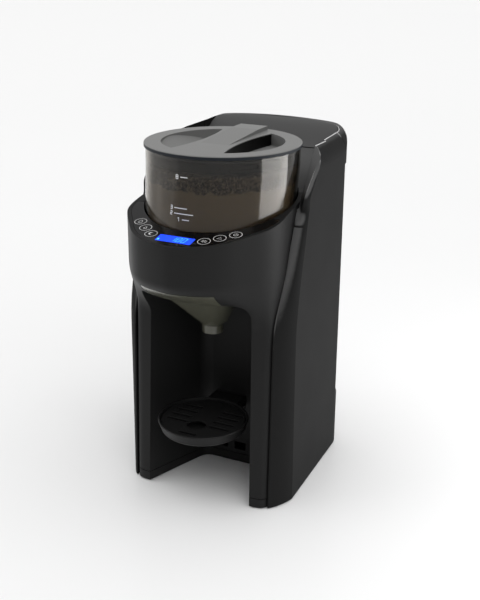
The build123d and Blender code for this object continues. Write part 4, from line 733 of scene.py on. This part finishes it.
@dataclass
class PanelPrint:
    """Touch-key rings, their signs and the display's marks on the sloping panel."""

    dresser: Dresser
    slope: float = 0.2
    plane_z: float = mm(329.15)        # height of the panel's plane over the origin
    ink_thickness: float = mm(0.06)
    line: float = mm(0.5)
    ring_radius: float = mm(6.2)
    ring_steps: int = 48
    key_places_mm: tuple[Point, ...] = ((53.2, -91.0), (41.2, -101.6), (29.3, -111.6))
    left_signs: tuple[KeySign, ...] = (KeySign.START, KeySign.WATER, KeySign.NIGHT)
    right_signs: tuple[KeySign, ...] = (KeySign.POWER, KeySign.VOLUME, KeySign.WARMTH)
    window_y: float = mm(-115.95)
    pointer_mm: tuple[Point, ...] = ((-18.0, -4.9), (-15.9, -4.9), (-15.9, -2.6), (-16.95, -1.4),
                                     (-18.0, -2.6))
    reading: str = "180"
    reading_corner: Point = (mm(-4.0), mm(-4.1))
    digit_pitch: float = mm(5.9)
    digit_share: float = 0.62          # a digit's width as a share of the pitch
    digit_height: float = mm(8.2)
    digit_lean: float = 0.12

    def matrix(self, x: float, y: float) -> Matrix:
        """Places a flat drawing on the panel.

        Args:
            x: Place across the machine.
            y: Place along the machine.

        Returns:
            Matrix whose local Z is the panel's normal.
        """
        up = Vector((0, -self.slope, 1)).normalized()
        side = Vector((1, 0, 0))
        turn = Matrix((side, up.cross(side), up)).transposed().to_4x4()
        return Matrix.Translation((x, y, self.plane_z + self.slope * y)) @ turn

    def stroke(self, mesh: Mesh, place: Matrix, points: list[Point], closed: bool = False) -> None:
        """Adds one printed line of even width.

        Args:
            mesh: Mesh that gets the line.
            place: Where the drawing lies.
            points: The line's points in the drawing's plane.
            closed: Whether the line returns to its start.
        """
        count = len(points)
        left, right = [], []
        for i, (x, y) in enumerate(points):
            before = points[i - 1] if closed or i else points[i]
            after = points[(i + 1) % count] if closed or i < count - 1 else points[i]
            run = Vector((after[0] - before[0], after[1] - before[1])).normalized()
            normal = Vector((-run.y, run.x)) * self.line / 2
            left.append(mesh.verts.new(place @ Vector((x + normal.x, y + normal.y, self.ink_thickness))))
            right.append(mesh.verts.new(place @ Vector((x - normal.x, y - normal.y, self.ink_thickness))))
        for i in range(count if closed else count - 1):
            j = (i + 1) % count
            mesh.faces.new((left[i], right[i], right[j], left[j]))

    def patch(self, mesh: Mesh, place: Matrix, points_mm: tuple[Point, ...]) -> None:
        """Adds one filled printed shape from its outline in millimetres."""
        corners = [place @ Vector((mm(x), mm(y), self.ink_thickness)) for x, y in points_mm]
        mesh.faces.new([mesh.verts.new(corner) for corner in corners])

    def key(self, mesh: Mesh, place: Matrix, sign: Sign) -> None:
        """Prints one key's ring and its sign.

        Args:
            mesh: Mesh that gets them.
            place: Where the key lies.
            sign: The key's sign.
        """
        self.stroke(mesh, place, arc(self.ring_radius, 0, 360, self.ring_steps)[:-1], closed=True)
        for line in sign.lines:
            self.stroke(mesh, place, [(mm(x), mm(y)) for x, y in line], sign.closed)
        if sign.filled:
            self.patch(mesh, place, sign.filled)

    def digits(self, mesh: Mesh, place: Matrix) -> None:
        """Draws the reading in leaning digits of seven bars each.

        Args:
            mesh: Mesh that gets the bars.
            place: Where the display lies.
        """
        bars = {"0": "abcdef", "1": "bc", "8": "abcdefg"}
        wide, high, half = self.digit_pitch * self.digit_share, self.digit_height, self.digit_height / 2
        ends = {"a": ((0, high), (wide, high)), "b": ((wide, half), (wide, high)),
                "c": ((wide, 0), (wide, half)), "d": ((0, 0), (wide, 0)), "e": ((0, 0), (0, half)),
                "f": ((0, half), (0, high)), "g": ((0, half), (wide, half))}
        for i, digit in enumerate(self.reading):
            left, foot = self.reading_corner[0] + i * self.digit_pitch, self.reading_corner[1]
            for bar in bars[digit]:
                self.stroke(mesh, place, [(left + x + self.digit_lean * y, foot + y) for x, y in ends[bar]])

    def build(self) -> None:
        """Prints the keys and the display's marks."""
        ink = bmesh.new()
        for side, signs in ((-1, self.left_signs), (1, self.right_signs)):
            for (x, y), sign in zip(self.key_places_mm, signs):
                self.key(ink, self.matrix(side * mm(x), mm(y)), sign.value)
        self.dresser.new_piece("touch_key_print", ink, Finish.INK, "machine", "panel_black", smooth=False)
        marks = bmesh.new()
        place = self.matrix(0.0, self.window_y)
        self.digits(marks, place)
        self.patch(marks, place, self.pointer_mm)
        self.dresser.new_piece("display_marks", marks, Finish.DIGITS, "machine", "display_blue", smooth=False)


@dataclass(frozen=True)
class ContainerWall:
    """Outside of the powder container: a leaning cone up to its straight mouth."""

    foot_z: float = mm(303)
    mouth_z: float = mm(362)
    foot_y: float = mm(-20)
    mouth_y: float = mm(-12)
    foot_r: float = mm(78)
    mouth_r: float = mm(80)

    def at(self, z: float) -> tuple[float, float]:
        """Finds the wall at a height.

        Args:
            z: Height.

        Returns:
            Y of the wall's centre, and its radius.
        """
        up = min(max((z - self.foot_z) / (self.mouth_z - self.foot_z), 0.0), 1.0)
        centre_y = self.foot_y + up * (self.mouth_y - self.foot_y)
        return centre_y, self.foot_r + up * (self.mouth_r - self.foot_r)


@dataclass(frozen=True)
class LevelMark:
    """A tick on the container with its number, in millimetres.

    Runs are distances round the wall from its foremost point, to the right when positive.
    """

    digit: str
    level: float               # height of the tick and of the digit's middle
    digit_run: float           # the digit's left edge
    start_run: float
    end_run: float
    digit_height: float = 3.4
    line: float = 0.8


@dataclass
class ContainerMarks:
    """Level ticks and plain numbers printed on the front of the powder container."""

    dresser: Dresser
    wall: ContainerWall = ContainerWall()
    ink_thickness: float = mm(0.08)
    facet: float = mm(1.5)             # a bar follows the wall in pieces of about this length
    digit_line: float = mm(0.7)
    digit_share: float = 0.6           # a digit's width as a share of its height
    scale: tuple[LevelMark, ...] = (
        LevelMark("8", 361.5, -11.5, -6.5, 1.5, digit_height=3.8, line=0.9),
        LevelMark("1", 320.2, -9.0, -3.0, 4.8, digit_height=3.8, line=0.9),
        LevelMark("2", 325.8, -17.0, -12.5, 9.0),
        LevelMark("3", 331.2, -17.0, -12.5, 2.0),
    )

    def surface(self, run: float, z: float) -> Vector:
        """Finds a point of the ink's face.

        Args:
            run: Distance round the wall from its foremost point, to the right when positive.
            z: Height.

        Returns:
            The point, off the wall by the ink's thickness.
        """
        centre_y, radius = self.wall.at(z)
        angle = run / radius - math.pi / 2
        reach = radius + self.ink_thickness
        return Vector((reach * math.cos(angle), centre_y + reach * math.sin(angle), z))

    def bar(self, mesh: Mesh, start: Point, end: Point, width: float) -> None:
        """Adds one straight printed bar that follows the wall.

        Args:
            mesh: Mesh that gets the bar.
            start: Run and height of its start.
            end: Run and height of its end.
            width: Its width.
        """
        a, b = Vector(start), Vector(end)
        along = (b - a).normalized()
        normal = Vector((-along.y, along.x)) * width / 2
        steps = max(1, int((b - a).length / self.facet))
        rows = []
        for i in range(steps + 1):
            p = a.lerp(b, i / steps)
            rows.append([mesh.verts.new(self.surface(*(p + side * normal))) for side in (1, -1)])
        for near, far in zip(rows, rows[1:]):
            mesh.faces.new((near[0], near[1], far[1], far[0]))

    def number(self, mesh: Mesh, digit: str, run: float, z: float, height: float) -> None:
        """Adds a plain digit of straight bars.

        Args:
            mesh: Mesh that gets it.
            digit: One digit.
            run: Left edge, as a distance round the wall.
            z: Height of its foot.
            height: Its height.
        """
        w, h = self.digit_share * height, height
        shapes = {
            "1": [((w, 0), (w, h)), ((w, h), (0.4 * w, 0.75 * h))],
            "2": [((0, h), (w, h)), ((w, h), (w, h / 2)), ((w, h / 2), (0, h / 2)), ((0, h / 2), (0, 0)),
                  ((0, 0), (w, 0))],
            "3": [((0, h), (w, h)), ((w, h), (w, 0)), ((0, h / 2), (w, h / 2)), ((0, 0), (w, 0))],
            "8": [((0, 0), (0, h)), ((w, 0), (w, h)), ((0, 0), (w, 0)), ((0, h / 2), (w, h / 2)),
                  ((0, h), (w, h))],
        }
        for start, end in shapes[digit]:
            self.bar(mesh, (run + start[0], z + start[1]), (run + end[0], z + end[1]), self.digit_line)

    def build(self) -> None:
        """Prints the upper mark, the lower mark and the short scale over it."""
        marks = bmesh.new()
        for mark in self.scale:
            z = mm(mark.level)
            self.bar(marks, (mm(mark.start_run), z), (mm(mark.end_run), z), mm(mark.line))
            foot = mm(mark.level - mark.digit_height / 2)
            self.number(marks, mark.digit, mm(mark.digit_run), foot, mm(mark.digit_height))
        self.dresser.new_piece("container_level_marks", marks, Finish.INK, "hopper", "clear_smoke",
                               smooth=False)


@dataclass
class PowderFill:
    """Powder in the container: settled round the wall, uneven on top, hollow where the stirrer turns."""

    dresser: Dresser
    wall: ContainerWall = ContainerWall()
    gap: float = mm(2.6)               # the container's thickness and a little air
    floor_z: float = mm(306.5)
    top_z: float = mm(363.5)
    shoulder: float = mm(2.5)          # the side ends this far below the top's mean height
    around: int = 160
    side_rings: int = 26
    top_rings: int = 22
    top_reach: float = mm(76)
    top_inset: float = mm(0.8)         # of the outermost ring of the top
    side_skin: float = mm(5)
    top_skin: float = mm(9)
    hollow_inset: float = mm(13)       # of the ring inside which one face closes the hollow's ceiling
    lump: float = mm(16)
    lump_height: float = mm(1.1)
    lump_layer: float = 0.3            # which slice of the noise draws the top
    slope: float = -0.008              # the top falls to the right

    def surface_z(self, x: float, y: float) -> float:
        """Height of the powder's uneven top."""
        rough = noise.fractal(Vector((x, y, self.lump_layer)) / self.lump, 1.0, 2.0, 4)
        return self.top_z + self.slope * x + self.lump_height * rough

    def ring(self, mesh: Mesh, z: float, inset: float, uneven: bool = False) -> list[bmesh.types.BMVert]:
        """Adds a ring of points.

        Args:
            mesh: Mesh that gets it.
            z: Its height, which also gives its centre.
            inset: How far it stands in from the powder's outside.
            uneven: Whether its points follow the uneven top.

        Returns:
            The ring's points.
        """
        centre_y, wall_radius = self.wall.at(z)
        radius = wall_radius - self.gap - inset
        points = []
        for i in range(self.around):
            angle = 2 * math.pi * i / self.around
            x, y = radius * math.cos(angle), centre_y + radius * math.sin(angle)
            points.append(mesh.verts.new((x, y, self.surface_z(x, y) if uneven else z)))
        return points

    def build(self) -> None:
        """Builds the powder as one closed skin: hollow, side, then the top from its edge inwards."""
        mesh = bmesh.new()
        ceiling_z = self.top_z - self.top_skin
        side_height = self.top_z - self.shoulder - self.floor_z
        rings = [self.ring(mesh, ceiling_z, self.hollow_inset), self.ring(mesh, ceiling_z, self.side_skin),
                 self.ring(mesh, self.floor_z, self.side_skin)]
        for i in range(self.side_rings + 1):
            rings.append(self.ring(mesh, self.floor_z + side_height * i / self.side_rings, 0.0))
        for i in range(1, self.top_rings):
            inset = self.top_reach * i / self.top_rings if i > 1 else self.top_inset
            rings.append(self.ring(mesh, self.top_z, inset, uneven=True))
        for low, high in zip(rings, rings[1:]):
            for i in range(self.around):
                j = (i + 1) % self.around
                mesh.faces.new((low[i], low[j], high[j], high[i]))
        mesh.faces.new(rings[0])
        mesh.faces.new(list(reversed(rings[-1])))
        bmesh.ops.recalc_face_normals(mesh, faces=mesh.faces)
        self.dresser.new_piece("formula_powder", mesh, Finish.POWDER, "hopper", "white_plastic")


# ---------------------------------------------------------------- studio
@dataclass(frozen=True)
class LightWindow:
    """Bright opening in the light tent, between two compass directions and two heights."""

    azimuth: float             # of its middle, in degrees from +X towards +Y
    half_width: float          # degrees, as are the next two, above the horizon
    low: float
    high: float
    strength: float
    soft: float = 6.0          # degrees over which its edge fades

    def glow(self, tree: Tree, azimuth: Socket, height: Socket) -> Socket:
        """Adds the window to the tent's shader.

        Args:
            tree: The tent's node tree.
            azimuth: Compass direction in radians.
            height: Height above the horizon in radians.

        Returns:
            The window's brightness in each direction.
        """
        turned = add_node(tree, "ShaderNodeMath", {"operation": "SUBTRACT"},
                          {0: azimuth, 1: math.radians(self.azimuth)})
        wrapped = add_node(tree, "ShaderNodeMath", {"operation": "WRAP"},
                           {0: turned.outputs["Value"], 1: math.pi, 2: -math.pi})
        away = add_node(tree, "ShaderNodeMath", {"operation": "ABSOLUTE"}, {0: wrapped.outputs["Value"]})
        half_width, low, high, soft = map(math.radians, (self.half_width, self.low, self.high, self.soft))
        return mask(tree, (away.outputs["Value"], (half_width + soft, half_width)),
                    (height, (low - soft, low)), (height, (high + soft, high)), share=self.strength)


@dataclass
class Studio:
    """White board under a light tent, and the camera."""

    dresser: Dresser
    camera_place: tuple[float, float, float] = (0.4460, -0.9045, 0.5793)
    camera_forward: tuple[float, float, float] = (-0.4036, 0.8462, -0.3478)
    camera_roll: float = math.radians(0.36)
    camera_reach: Span = (0.05, 50.0)      # nearest and farthest that it sees
    lens_mm: float = 58.60
    film_mm: float = 36.0
    floor_size: float = 60.0
    strip_place: tuple[float, float, float] = (0.707, 0.188, 0.235)
    strip_target: tuple[float, float, float] = (0.07, -0.05, 0.235)
    strip_size: tuple[float, float] = (0.678, 0.17)
    strip_power: float = 2.0
    tent_base: float = 0.35
    windows: tuple[LightWindow, ...] = (
        LightWindow(azimuth=0, half_width=181, low=60, high=91, strength=1.36, soft=15),   # ceiling
        LightWindow(azimuth=205, half_width=18, low=4, high=40, strength=1.3),             # left
        LightWindow(azimuth=-45, half_width=22, low=24, high=48, strength=1.8),            # ahead and right
        LightWindow(azimuth=116, half_width=42, low=-8, high=20, strength=0.56, soft=8),   # behind
    )

    def camera(self) -> None:
        """Adds the camera."""
        data = bpy.data.cameras.new("camera")
        data.lens = self.lens_mm
        data.sensor_width = self.film_mm
        data.clip_start, data.clip_end = self.camera_reach
        camera = bpy.data.objects.new("camera", data)
        bpy.context.scene.collection.objects.link(camera)
        forward = Vector(self.camera_forward).normalized()
        level_right = forward.cross(Vector((0, 0, 1))).normalized()
        level_up = level_right.cross(forward)
        right = level_right * math.cos(self.camera_roll) + level_up * math.sin(self.camera_roll)
        up = level_up * math.cos(self.camera_roll) - level_right * math.sin(self.camera_roll)
        turn = Matrix((right, up, -forward)).transposed().to_4x4()
        camera.matrix_world = Matrix.Translation(self.camera_place) @ turn
        bpy.context.scene.camera = camera

    def floor(self) -> None:
        """Adds the board."""
        mesh = bmesh.new()
        bmesh.ops.create_grid(mesh, x_segments=1, y_segments=1, size=self.floor_size / 2)
        data = bpy.data.meshes.new("studio_floor")
        mesh.to_mesh(data)
        mesh.free()
        data.materials.append(self.dresser.store.get(Finish.PAPER))
        floor = bpy.data.objects.new("studio_floor", data)
        bpy.context.scene.collection.objects.link(floor)

    def tent(self) -> None:
        """Adds the pale tent with its bright windows."""
        world = bpy.data.worlds.new("light_tent")
        world.use_nodes = True
        tree = world.node_tree
        tree.nodes.clear()
        place = add_node(tree, "ShaderNodeTexCoord").outputs["Generated"]
        axes = add_node(tree, "ShaderNodeSeparateXYZ", None, {"Vector": place})
        azimuth = add_node(tree, "ShaderNodeMath", {"operation": "ARCTAN2"},
                           {0: axes.outputs["Y"], 1: axes.outputs["X"]})
        height = add_node(tree, "ShaderNodeMath", {"operation": "ARCSINE"}, {0: axes.outputs["Z"]})
        total: float | Socket = self.tent_base
        for window in self.windows:
            glow = window.glow(tree, azimuth.outputs["Value"], height.outputs["Value"])
            added = add_node(tree, "ShaderNodeMath", {"operation": "ADD"}, {0: total, 1: glow})
            total = added.outputs["Value"]
        light = add_node(tree, "ShaderNodeBackground", None, {"Color": linear("ffffff"), "Strength": total})
        add_node(tree, "ShaderNodeOutputWorld", None, {"Surface": light.outputs["Background"]})
        bpy.context.scene.world = world

    def strip_light(self) -> None:
        """Adds the low wide softbox on the right, which draws the bright band on the container."""
        data = bpy.data.lights.new("strip_softbox", "AREA")
        data.shape = "RECTANGLE"
        data.size, data.size_y = self.strip_size
        data.energy = self.strip_power
        light = bpy.data.objects.new("strip_softbox", data)
        bpy.context.scene.collection.objects.link(light)
        aim = Vector(self.strip_target) - Vector(self.strip_place)
        turn = aim.to_track_quat("-Z", "Y").to_matrix().to_4x4()
        light.matrix_world = Matrix.Translation(self.strip_place) @ turn

    def build(self) -> None:
        """Adds everything around the machine."""
        bpy.context.scene.view_settings.view_transform = "Standard"
        self.floor()
        self.tent()
        self.strip_light()
        self.camera()
        LOG.info("built the studio")


def main() -> None:
    """Builds the machine's looks and the studio, piece by piece."""
    logging.basicConfig(level=logging.INFO, format="%(name)s: %(message)s")
    dresser = Dresser(MaterialStore())
    Mouldings(dresser).build()
    PanelPrint(dresser).build()
    ContainerMarks(dresser).build()
    PowderFill(dresser).build()
    Studio(dresser).build()


if __name__ == "__main__":
    main()
